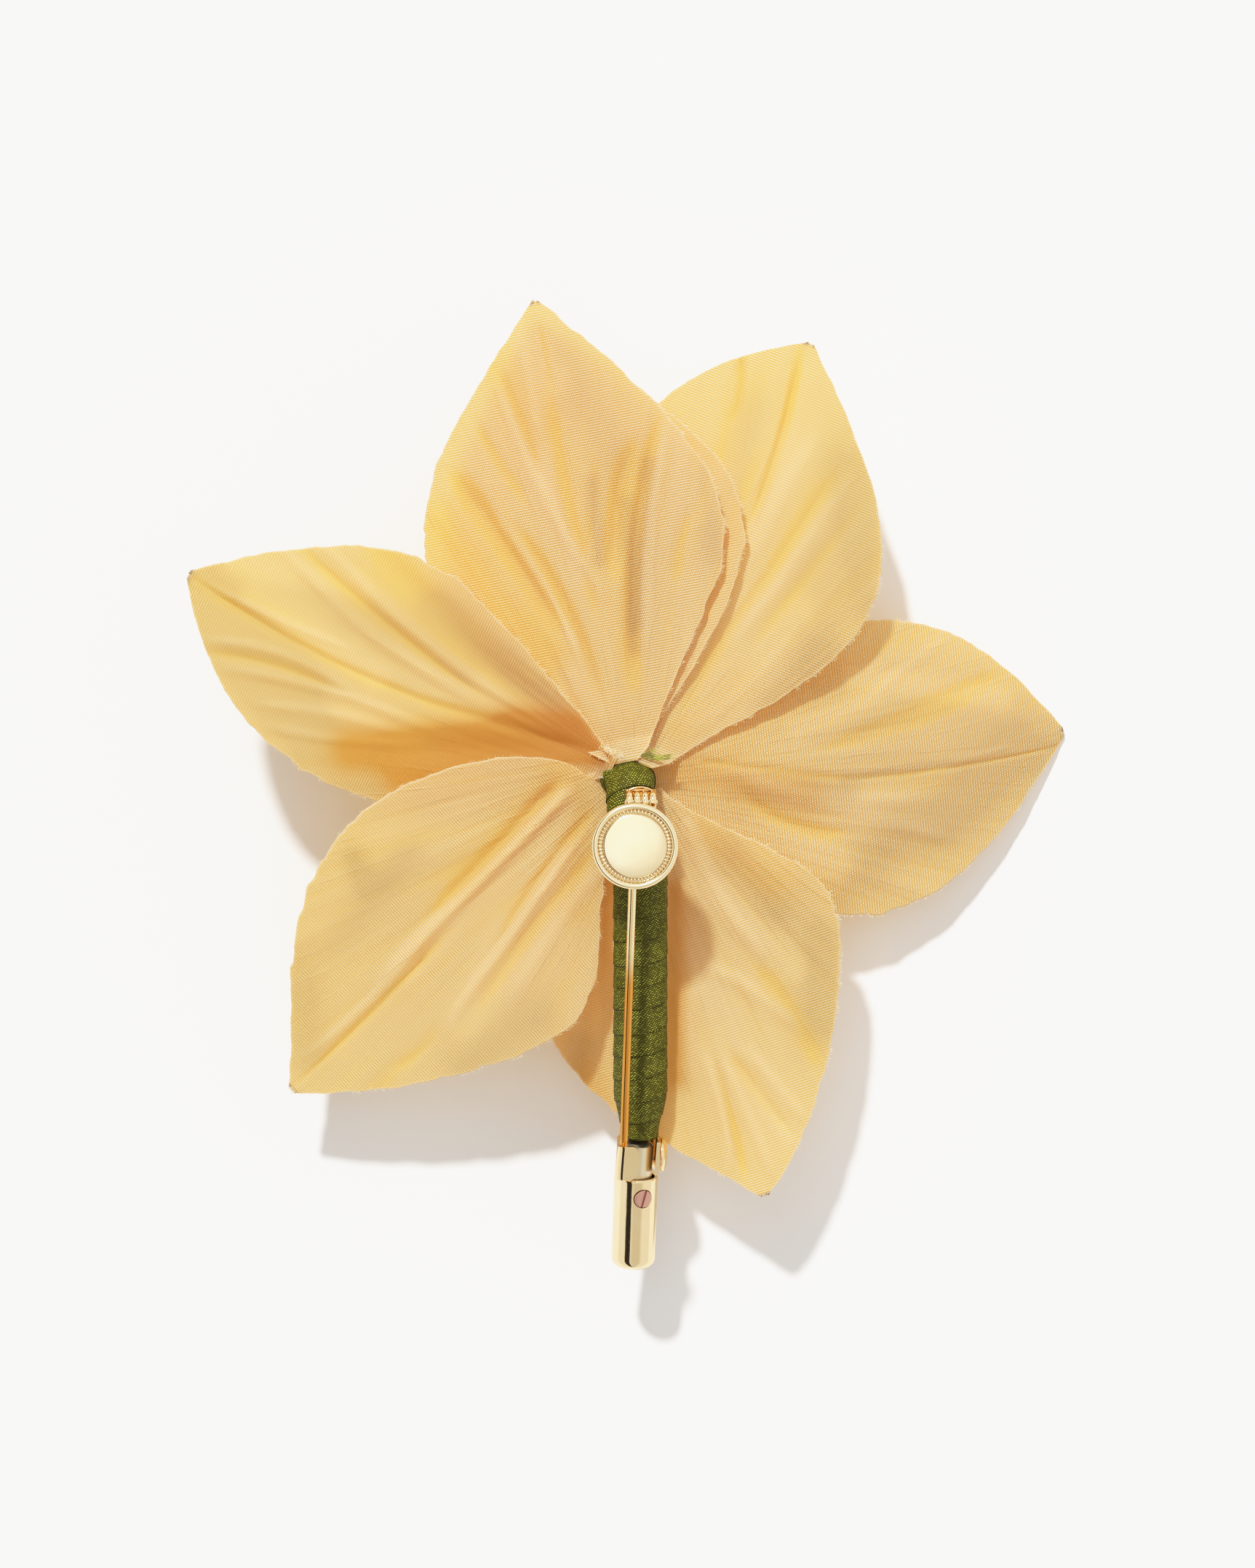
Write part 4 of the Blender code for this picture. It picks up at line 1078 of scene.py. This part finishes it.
def ribbon(nodes, line, pitch, lap, step, turns):
    """A strip wound along a line. Its radius follows the neck, the squashed bend and the tapered end."""
    sockets = {"Size X": 1.0, "Size Y": 1.0, "Vertices X": 1100, "Vertices Y": 14}
    grid = nodes.add("GeometryNodeMeshGrid", {}, sockets)
    x, y, _ = nodes.split(nodes.add("GeometryNodeInputPosition"))
    wind, over = (x + 0.5) * turns + 1.0, y + 0.5
    wide = pitch + lap
    grid = store(nodes, grid, "cloth", nodes.vector(wind * GIRTH, over * wide, 0.0), "FLOAT2", "CORNER")
    grid = store(nodes, grid, "edge", (1 - over) * wide)
    curve = nodes.add("GeometryNodeMeshToCurve", {}, {0: line})
    length = nodes.add("GeometryNodeCurveLength", {}, {0: curve})
    uneven = nodes.noise(nodes.vector(wind, 0.0, 0.0), 0.9, 2.0) - 0.5
    place = ((wind - 1) * pitch + over * wide + uneven * 0.9).math("MINIMUM", length)
    sockets = {"Curves": curve, "Length": place}
    out = ("Position", "Tangent")
    spot, ahead = nodes.add("GeometryNodeSampleCurve", {"mode": "LENGTH"}, sockets, out=out)
    _, py, pz = nodes.split(spot)
    turn = wind * TURN
    cosine, sine = turn.math("COSINE"), turn.math("SINE")
    corner = nodes.between((turn + 1.74).math("COSINE"), 0.8, 1.0) * nodes.between(pz, 22.6, 21.2)
    flat_top = nodes.between(0 - cosine, 0.2, 1.0) * nodes.between(pz, 25.0, 22.0)
    neck = 2.83 - nodes.between(pz, 20.3, 22.8) * 0.2 + corner * 0.55 - flat_top * 0.4
    stem = 2.63 + (1 - nodes.between(py, -8.5, -4.0)) * 0.4
    on_stem = nodes.between(py, -3.2, -3.8)
    r = neck + (stem - neck) * on_stem - (1 - nodes.between(py, -41.0, -35.8)) * 0.95
    ripple = (nodes.noise(nodes.vector(wind * 2.0, over, 0.0), 1.6, 2.0) - 0.5) * 0.12
    r = r + over * step + ripple
    up = nodes.vectors("CROSS_PRODUCT", ahead, (-1.0, 0.0, 0.0))
    side = nodes.vectors("NORMALIZE", nodes.vectors("CROSS_PRODUCT", ahead, up))
    up = nodes.vectors("NORMALIZE", up)
    away = nodes.vectors("ADD", nodes.scaled(up, r * cosine), nodes.scaled(side, r * sine))
    sockets = {"Geometry": grid, "Position": nodes.vectors("ADD", spot, away)}
    shape = nodes.add("GeometryNodeSetPosition", {}, sockets)
    return nodes.add("GeometryNodeMergeByDistance", {}, {"Geometry": shape, "Distance": 0.0015})


RIBBON_FINISH = ribbon_finish("ribbon_satin")
ribbon_line = stem_path(16.6, RIBBON_END, 70)
ribbon_length = float(np.linalg.norm(np.diff(ribbon_line, axis=0), axis=1).sum())
sizes = {"Pitch": PITCH, "Lap": LAP, "Step": 0.13, "Turns": ribbon_length / PITCH + 0.6}
mesh = grow("ribbon", drawn(ribbon_line), sizes, ribbon, RIBBON_FINISH)
wrap = piece("ribbon_satin", mesh, "brooch", RIBBON_FINISH, "ribbon_wrap", slot="ribbon")
wall = wrap.modifiers.new("thickness", "SOLIDIFY")
wall.thickness, wall.offset = RIBBON_THICK * MM, 0
print(f"ribbon: {ribbon_length:.1f} mm of stem covered, {len(wrap.data.polygons)} faces")

# %% [markdown]
# ## Metal finishes
#
# The pin, hinge, catch and sleeve are stamped or turned brass with a bright gold plate. Plate is nearly a
# mirror, so most of what we see is the room; hairline scratches, a little waviness and a slightly uneven
# roughness keep it from looking like a drawing.


# %% Metal finishes
def plate_finish(name, bright, deep, rough, swelling=0.5, recess_shade=None):
    """Polished plate. Its last argument gives two heights in metres and a darker tone painted below them as
    shade.
    """
    material, nodes, place = finish(name)
    cloud = nodes.noise(place, 220.0, 3.0)
    hair = nodes.noise(nodes.vectors("MULTIPLY", place, (1.0, 0.12, 1.0)), 9000.0, 2.0)
    pits = nodes.add("ShaderNodeTexVoronoi", {"feature": "F1"}, {"Vector": place, "Scale": 2600.0})
    tone = nodes.mix(nodes.between(cloud, 0.3, 0.7), bright, deep)
    # Below the given heights the plate is painted in the darker tone, as shade.
    if recess_shade:
        low, high, recess_shade_tone = recess_shade
        _, _, z = nodes.split(place)
        tone = nodes.mix(nodes.between(z, high, low), tone, recess_shade_tone)
    swell = nodes.noise(place, 400.0, 1.0)
    height = swell * 1.5 + hair * 0.05 + nodes.between(pits, 0.16, 0.0) * 0.03
    roughness = rough + (cloud - 0.5) * 0.06 + nodes.between(hair, 0.62, 0.75) * 0.08
    show(nodes, nodes.add("ShaderNodeBsdfPrincipled", {}, {
        "Base Color": tone, "Metallic": 1.0, "Roughness": roughness,
        "Normal": nodes.bump(0.25 * swelling, 0.00004, height)}))
    return material


def metal(name, shapes, body, material, node, slot="gold_plate", angle=40):
    """A piece of one metal, joined from shapes in millimetres."""
    return piece(name, together(shapes, angle), body, material, node, slot=slot)


GOLD = plate_finish("gold_plate", (0.90, 0.69, 0.41), (0.86, 0.63, 0.34), 0.11, 1.6)
# The medallion is painted darker below its channel's floor, as shade in the channel inside the rim.
PALE_GOLD = plate_finish("medallion_plate", (0.90, 0.72, 0.44), (0.86, 0.67, 0.38), 0.16, 1.2,
                         recess_shade=(0.03094, 0.03105, (0.50, 0.32, 0.15)))
# Below about 27 mm this finish is painted a dark orange, as shade and as a reflection of the orange cloth in
# the hinge's well; the needle, which also wears it, is darker along its lower length.
HINGE_GOLD = plate_finish("hinge_plate", (0.90, 0.70, 0.40), (0.86, 0.62, 0.30), 0.12, 0.5,
                          recess_shade=(0.0268, 0.0280, (0.62, 0.27, 0.05)))
ROD_METAL = plate_finish("stem_metal", (0.74, 0.62, 0.42), (0.70, 0.58, 0.38), 0.32, 0.8)
COPPER = plate_finish("screw_copper", (0.62, 0.36, 0.28), (0.55, 0.30, 0.24), 0.3, 0.8)
SIDEWAYS = Matrix.Rotation(math.pi / 2, 4, "Y")

# %% Stem rod
WRAPPED_RADIUS, BARE_RADIUS = 0.8, 1.85
rod_line = stem_path(15.2, -53.0, 60)
rod_radii = np.where(rod_line[:, 1] < RIBBON_END - 0.4, BARE_RADIUS, WRAPPED_RADIUS)
rod_shape = swept(rod_line, rod_radii, 32)
rod = metal("stem_rod_metal", [rod_shape], "brooch", ROD_METAL, "stem_rod", "stem_metal")
print("rod:", len(rod.data.polygons), "faces")

# %% [markdown]
# ## Hinge, needle and medallion
#
# A small four-knuckle hinge is fixed on the stem just below the neck. Its moving half is one stamping: two
# knuckles, a short strap and the long needle. The round medallion is fixed on the strap, so it turns with
# the needle. Its middle is left bare.

# %% Hinge
hx, hy, hz = 1.58, -2.1, 27.75
KNUCKLE_RADIUS, KNUCKLE_WIDTH, KNUCKLE_PITCH = 0.85, 0.8, 0.9
plate_top = hz - KNUCKLE_RADIUS - 0.12


def knuckle(k):
    """One rolled knuckle of the hinge, with softened ends, and where it starts."""
    x0 = hx + (k - 2) * KNUCKLE_PITCH + (KNUCKLE_PITCH - KNUCKLE_WIDTH) / 2
    r, w, c = KNUCKLE_RADIUS, KNUCKLE_WIDTH, 0.12
    half = [(0.36, 0.06), (0.42, 0), (r - c, 0), (r - 0.04, 0.04), (r, c)]
    outline = half + [(radius, w - height) for radius, height in half[::-1]] + half[:1]
    return turned(outline, 40, Matrix.Translation((x0, hy, hz)) @ SIDEWAYS), x0


def tail(x0):
    """The sheet that runs down from the back of a knuckle."""
    line = [(0.1, hz + 0.78), (0.5, hz + 0.66), (0.85, hz + 0.35), (1.08, hz - 0.1), (1.2, plate_top)]
    path = [(x0 + KNUCKLE_WIDTH / 2, hy + y, z) for y, z in line]
    return swept(path, [0.12, 0.2, 0.24, 0.24, 0.2], 16, 1.5)


parts = [block((hx - 1.75, hy - 4.2, plate_top - 0.4), (hx + 1.75, hy + 1.5, plate_top), 0.12)]
for k in (1, 3):
    ring, x0 = knuckle(k)
    x1 = x0 + KNUCKLE_WIDTH - 0.06
    parts += [ring, tail(x0), block((x0 + 0.06, hy - 0.4, plate_top - 0.2), (x1, hy + 0.4, hz - 0.5), 0.05)]
x = np.linspace(-1.5, 1.35, 24)
lip = [(hx + a - 0.05, hy + 1.72 - 0.42 * ((a + 0.05) / 1.45) ** 2, hz - 0.25) for a in x]
lip = [(hx - 1.62, hy + 0.9, hz - 0.6), *lip, (hx + 1.45, hy + 0.9, hz - 0.6)]
parts.append(swept(lip, [0.13] * len(lip), 12))
parts.append(block((hx - 1.5, hy + 1.25, plate_top - 0.2), (hx + 1.3, hy + 1.55, hz - 0.3), 0.1))
metal("hinge_leaf", parts, "brooch", HINGE_GOLD, "hinge_base")
wire = [(0, 0), (0.2, 0), (0.28, 0.08), (0.28, 3.72), (0.2, 3.8), (0, 3.8)]
across_hinge = Matrix.Translation((hx - 1.9, hy, hz)) @ SIDEWAYS
metal("hinge_pin_wire", [turned(wire, 32, across_hinge)], "brooch", GOLD, "hinge_pin")

# %% Needle
NEEDLE_LEVEL, NEEDLE_BEND, NEEDLE_TIP, NEEDLE_RADIUS = 29.35, -11.9, -45.2, 0.47
POINT_LENGTH = 4.4
STRAP_LOW, STRAP_HIGH = NEEDLE_LEVEL - 0.1, NEEDLE_LEVEL + 0.47


def needle_x(y):
    """Sideways place of the needle's middle line."""
    return 0.56 + (y + 12.3) * 1.03 / 30.6


strap_x = needle_x(-6)
parts = [block((strap_x - 0.9, hy - 9.0, STRAP_LOW), (strap_x + 1.1, hy - 0.3, STRAP_HIGH), 0.12),
         block((hx - 1.75, hy - 2.6, STRAP_LOW), (hx + 0.85, hy - 0.3, STRAP_HIGH), 0.12)]
for k in (0, 2):
    ring, x0 = knuckle(k)
    x1, top = x0 + KNUCKLE_WIDTH - 0.06, NEEDLE_LEVEL + 0.2
    parts += [ring, tail(x0), block((x0 + 0.06, hy - 0.75, hz + 0.5), (x1, hy - 0.3, top), 0.08)]
y = np.concatenate([np.linspace(-5.0, NEEDLE_BEND + 1, 12), np.linspace(NEEDLE_BEND + 0.8, NEEDLE_TIP, 80)])
fall = 0.5 * (np.sqrt((NEEDLE_BEND - y) ** 2 + 0.5) + (NEEDLE_BEND - y)) * math.tan(SLOPE)
shank = np.stack([needle_x(y), y, NEEDLE_LEVEL - fall], -1)
taper = np.minimum(1, 0.1 + ((y - NEEDLE_TIP) / POINT_LENGTH) ** 0.8)
parts.append(swept(shank, NEEDLE_RADIUS * taper, 24))
metal("needle", parts, "pin", HINGE_GOLD, "pin_needle")

# %% Medallion
MEDALLION = (0.86, -7.18, 29.97)
RIM_RADIUS = 0.38
RIM_TICKS = 60
q = np.linspace(0, math.pi * 0.93, 14)
rim = [(4.62 + RIM_RADIUS * math.cos(a), 1.12 + RIM_RADIUS * math.sin(a)) for a in q]
face = [(0, 0), (4.55, 0), (4.85, 0.1), (5.0, 0.38), *rim, (4.2, 1.14), (4.1, 1.12), (3.78, 1.12)]
face += [(3.72, 1.14), (3.7, 1.22), (3.64, 1.28), (3.5, 1.30), (3.0, 1.345), (2.4, 1.385)]
face += [(1.2, 1.43), (0, 1.44)]


def reeding(nodes, tick, count):
    """A ring of ticks inside the raised rim."""
    ring = ring_of(nodes, tick, RIM_TICKS, 0.0, count)
    return nodes.add("GeometryNodeTransform", {}, {0: ring, "Translation": MEDALLION})


tick_line = [(r, 0, 1.13) for r in (3.72, 3.76, 3.85, 4.12, 4.2, 4.24)]
tick = swept(tick_line, [0.05, 0.1, 0.125, 0.125, 0.1, 0.05], 12)
ticks = in_millimetres(grow("reeding", tick, {"Count": float(RIM_TICKS)}, reeding, GOLD))
shapes = [turned(face, 128, Matrix.Translation(MEDALLION)), ticks]
medallion = metal("medallion_disc", shapes, "pin", PALE_GOLD, "medallion", angle=50)
print("medallion:", len(medallion.data.polygons), "faces")

# %% [markdown]
# ## Catch, sleeve and screw
#
# The catch is one strip bent under the stem: it rises on the left, turns over the needle and ends in a
# rounded tongue. A riveted stud sits on its right wall. A round sleeve with a closed end slides over the
# rod and is held by a slotted copper-coloured screw.

# %% Catch
CATCH_FROM, CATCH_TO = -41.65, -45.55
CATCH_RADIUS, CATCH_THICK = 2.35, 0.42
HOOK_RADIUS = 0.95
TONGUE_TIP = 1.42
catch_mid, catch_half = (CATCH_FROM + CATCH_TO) / 2, (CATCH_FROM - CATCH_TO) / 2
ax, az = float(stem_x(catch_mid)), float(stem_z(catch_mid))
nz = NEEDLE_LEVEL - (NEEDLE_BEND - catch_mid) * math.tan(SLOPE)


def on_arc(x, z, radius, angles, way=1):
    """Points round (x, z). way -1 mirrors them to the left."""
    return [(x + way * radius * math.cos(a), z + radius * math.sin(a)) for a in angles]


strip = [(ax + CATCH_RADIUS, az + 1.9), (ax + CATCH_RADIUS, az + 1.0)]
strip += on_arc(ax, az - 0.2, CATCH_RADIUS, np.radians(np.linspace(0, -180, 30)))
strip += [(ax - CATCH_RADIUS, z) for z in np.linspace(az, nz - 1.0, 5)[1:]]
strip += on_arc(ax - 1.4, nz + 0.05, HOOK_RADIUS, np.linspace(0, math.pi / 2, 14), -1)
tongue = len(strip)
strip += [(x, nz + 1.0 - 0.05 * ((x + 0.4) / 1.75) ** 2) for x in np.linspace(ax - 1.1, TONGUE_TIP, 16)]
bm = bmesh.new()
rows = []
for k, (x, z) in enumerate(strip):
    inset = 0.0
    if k >= tongue:
        t = (x - strip[tongue][0]) / (TONGUE_TIP - strip[tongue][0])
        rounding = max(0.0, (t - 0.28) / 0.72) ** 2.2
        inset = catch_half * (1 - math.sqrt(max(0.0, 1 - rounding)))
    rows.append([])
    for w in np.linspace(-1, 1, 15):
        y = catch_mid + w * (catch_half - min(inset, catch_half - 0.2))
        lean = math.sin(SLOPE) * min(z - az, 2.6)
        point = (x + float(stem_x(y)) - ax, y - lean, z - (catch_mid - y) * math.tan(SLOPE))
        rows[-1].append(bm.verts.new(point))
for one, two in zip(rows, rows[1:]):
    for k in range(len(one) - 1):
        bm.faces.new((one[k], one[k + 1], two[k + 1], two[k]))
hook = metal("catch_hook", [closed(bm)], "brooch", GOLD, "catch")
wall = hook.modifiers.new("thickness", "SOLIDIFY")
wall.thickness, wall.offset, wall.use_even_offset = CATCH_THICK * MM, 0, True
soft = hook.modifiers.new("softened", "BEVEL")
soft.width, soft.segments, soft.limit_method, soft.angle_limit = 0.09 * MM, 3, "ANGLE", math.radians(50)
rivet_line = [(0, -0.1), (1.9, -0.1), (2.05, 0), (2.1, 0.1), (2.08, 0.22), (1.95, 0.4), (1.7, 0.53),
              (1.2, 0.7), (0.6, 0.78), (0, 0.8)]
beside = Matrix.Translation((ax + 2.76, catch_mid, az + 0.1)) @ SIDEWAYS
metal("catch_stud", [turned(rivet_line, 64, beside)], "brooch", GOLD, "catch_rivet")

# %% End sleeve and set screw
SLEEVE_MOUTH, SLEEVE_END, SLEEVE_RADIUS, SLEEVE_WALL = -46.05, -57.0, 2.6, 0.42
SCREW_DOWN, SCREW_TURN, SLOT_TURN = 2.2, math.radians(-21), math.radians(75)
length = (SLEEVE_MOUTH - SLEEVE_END) / math.cos(SLOPE)
mouth = Vector((float(stem_x(SLEEVE_MOUTH)), SLEEVE_MOUTH, float(stem_z(SLEEVE_MOUTH))))
down = (Matrix.Translation(mouth) @ Matrix.Rotation(-math.atan(END_LEAN), 4, "Z")
        @ Matrix.Rotation(math.pi / 2 + SLOPE, 4, "X"))
R, inner = SLEEVE_RADIUS, SLEEVE_RADIUS - SLEEVE_WALL
closed_end = [(0, 0), (0.8, 0.01), (1.5, 0.06), (1.95, 0.18), (2.3, 0.42), (2.5, 0.72), (R, 1.1)]
tube = [(r, length - back) for r, back in closed_end]
tube += [(R, z) for z in np.linspace(length - 1.3, 0.25, 60)]
tube += [(R - 0.03, 0.08), (R - 0.1, 0), (inner + 0.1, 0), (inner + 0.02, 0.06), (inner, 0.2)]
tube += [(inner, length - 1.1), (1.9, length - 1.4), (0, length - 1.5)]
aim = (down @ Matrix.Translation((0, 0, SCREW_DOWN)) @ Matrix.Rotation(SCREW_TURN, 4, "Z")
       @ Matrix.Rotation(-math.pi / 2, 4, "X"))


def cut_away(shape, tool):
    """A Boolean difference of two millimetre meshes, worked out at once."""
    pair = [bpy.data.objects.new("shape", shape), bpy.data.objects.new("tool", tool)]
    for obj in pair:
        bpy.context.scene.collection.objects.link(obj)
    cut = pair[0].modifiers.new("cut", "BOOLEAN")
    cut.operation, cut.solver, cut.object = "DIFFERENCE", "EXACT", pair[1]
    graph = bpy.context.evaluated_depsgraph_get()
    mesh = bpy.data.meshes.new_from_object(pair[0].evaluated_get(graph), depsgraph=graph)
    for obj in pair:
        bpy.data.objects.remove(obj, do_unlink=True)
    return mesh


hole = turned([(0, 1.0), (1.15, 1.0), (1.15, 3.5), (0, 3.5)], 48, aim)
sleeve = metal("sleeve_tube", [cut_away(turned(tube, 128, down), hole)], "brooch", GOLD, "end_sleeve")
screw_line = [(0, 1.95), (0.8, 1.95), (1.05, 2.15), (1.05, R + 0.02), (1.02, R + 0.07), (0.95, R + 0.11),
              (0.88, R + 0.12), (0, R + 0.12)]
groove = block((-1.5, -0.16, R - 0.2), (1.5, 0.16, R + 1), 0.02)
groove.transform(aim @ Matrix.Rotation(SLOT_TURN, 4, "Z"))
head = cut_away(turned(screw_line, 64, aim), groove)
screw = metal("set_screw_head", [head], "brooch", COPPER, "set_screw", "screw_metal")
print("sleeve:", len(sleeve.data.polygons), "faces; screw:", len(screw.data.polygons), "faces")

# %% [markdown]
# ## Camera, light and floor
#
# The camera looks straight down from 90 cm through a long lens, so the petals keep their true outline.
# One small bright light from the upper left draws crisp shadows, and a pale surround fills them.

# %% Camera
CAMERA_HEIGHT = 900
SENSOR_SIZE = 36
VIEW_HEIGHT_PER_DISTANCE = 0.20829
camera = bpy.data.objects.new("camera", bpy.data.cameras.new("camera"))
bpy.context.scene.collection.objects.link(camera)
camera.location = row((0, 0, CAMERA_HEIGHT))
camera.data.lens = SENSOR_SIZE / VIEW_HEIGHT_PER_DISTANCE
camera.data.clip_start, camera.data.clip_end = 0.01, 20
bpy.context.scene.camera = camera

# %% Key light
KEY_ELEVATION = math.radians(51.5)
level_part = math.cos(KEY_ELEVATION)
toward = Vector((-0.36 * level_part, 0.93 * level_part, math.sin(KEY_ELEVATION)))
key = bpy.data.objects.new("key", bpy.data.lights.new("key", "SUN"))
bpy.context.scene.collection.objects.link(key)
key.rotation_euler = toward.to_track_quat("Z", "Y").to_euler()
key.data.energy, key.data.angle = 4.2, math.radians(4.0)
key.data.color = (1.0, 0.98, 0.94)

# %% Surround
world = bpy.data.worlds.new("studio")
bpy.context.scene.world = world
world.use_nodes = True
nodes = Nodes(world.node_tree)
dx, dy, dz = nodes.split(nodes.add("ShaderNodeTexCoord", out="Generated"))
lean = dx.math("ARCTAN2", dz) * (180 / math.pi)
dark = nodes.between(lean, -53.0, -50.0) * (1 - nodes.between(lean, -23.0, -20.0))
band = nodes.between(lean, -20.0, -12.0) * (1 - nodes.between(lean, 30.0, 46.0))
front = nodes.between(dy, -0.04, -0.45) * band
overhead = nodes.between(dz + dy * 0.12 - dx * 0.08, 0.968, 0.992)
level = 0.92 - 0.90 * dark - 0.3 * front + 0.6 * overhead
sockets = {"Color": (1.0, 0.97, 0.93), "Strength": level * 1.3}
nodes.add("ShaderNodeOutputWorld", {}, {"Surface": nodes.add("ShaderNodeBackground", {}, sockets)})

# %% Floor
material, nodes, _ = finish("pale_floor")
show(nodes, nodes.add("ShaderNodeBsdfDiffuse", {}, {"Color": (0.8, 0.8, 0.8)}))
bm = bmesh.new()
bmesh.ops.create_grid(bm, x_segments=1, y_segments=1, size=2.5)
mesh = bpy.data.meshes.new("floor")
bm.to_mesh(mesh)
bm.free()
mesh.materials.append(material)
floor = bpy.data.objects.new("floor", mesh)
bpy.context.scene.collection.objects.link(floor)

# %% Tone curve
SHOULDER = [(0, 0), (0.125, 0.25), (0.25, 0.5), (0.375, 0.68), (0.55, 0.85), (0.72, 0.93), (1, 0.93)]
look = bpy.context.scene.view_settings
look.view_transform = "Standard"
look.use_curve_mapping = True
look.curve_mapping.extend = "HORIZONTAL"
look.curve_mapping.white_level = (2, 2, 2)
shoulder = look.curve_mapping.curves[3].points
while len(shoulder) < len(SHOULDER):
    shoulder.new(0.5, 0.5)
for point, spot in zip(shoulder, SHOULDER):
    point.location = spot
look.curve_mapping.update()
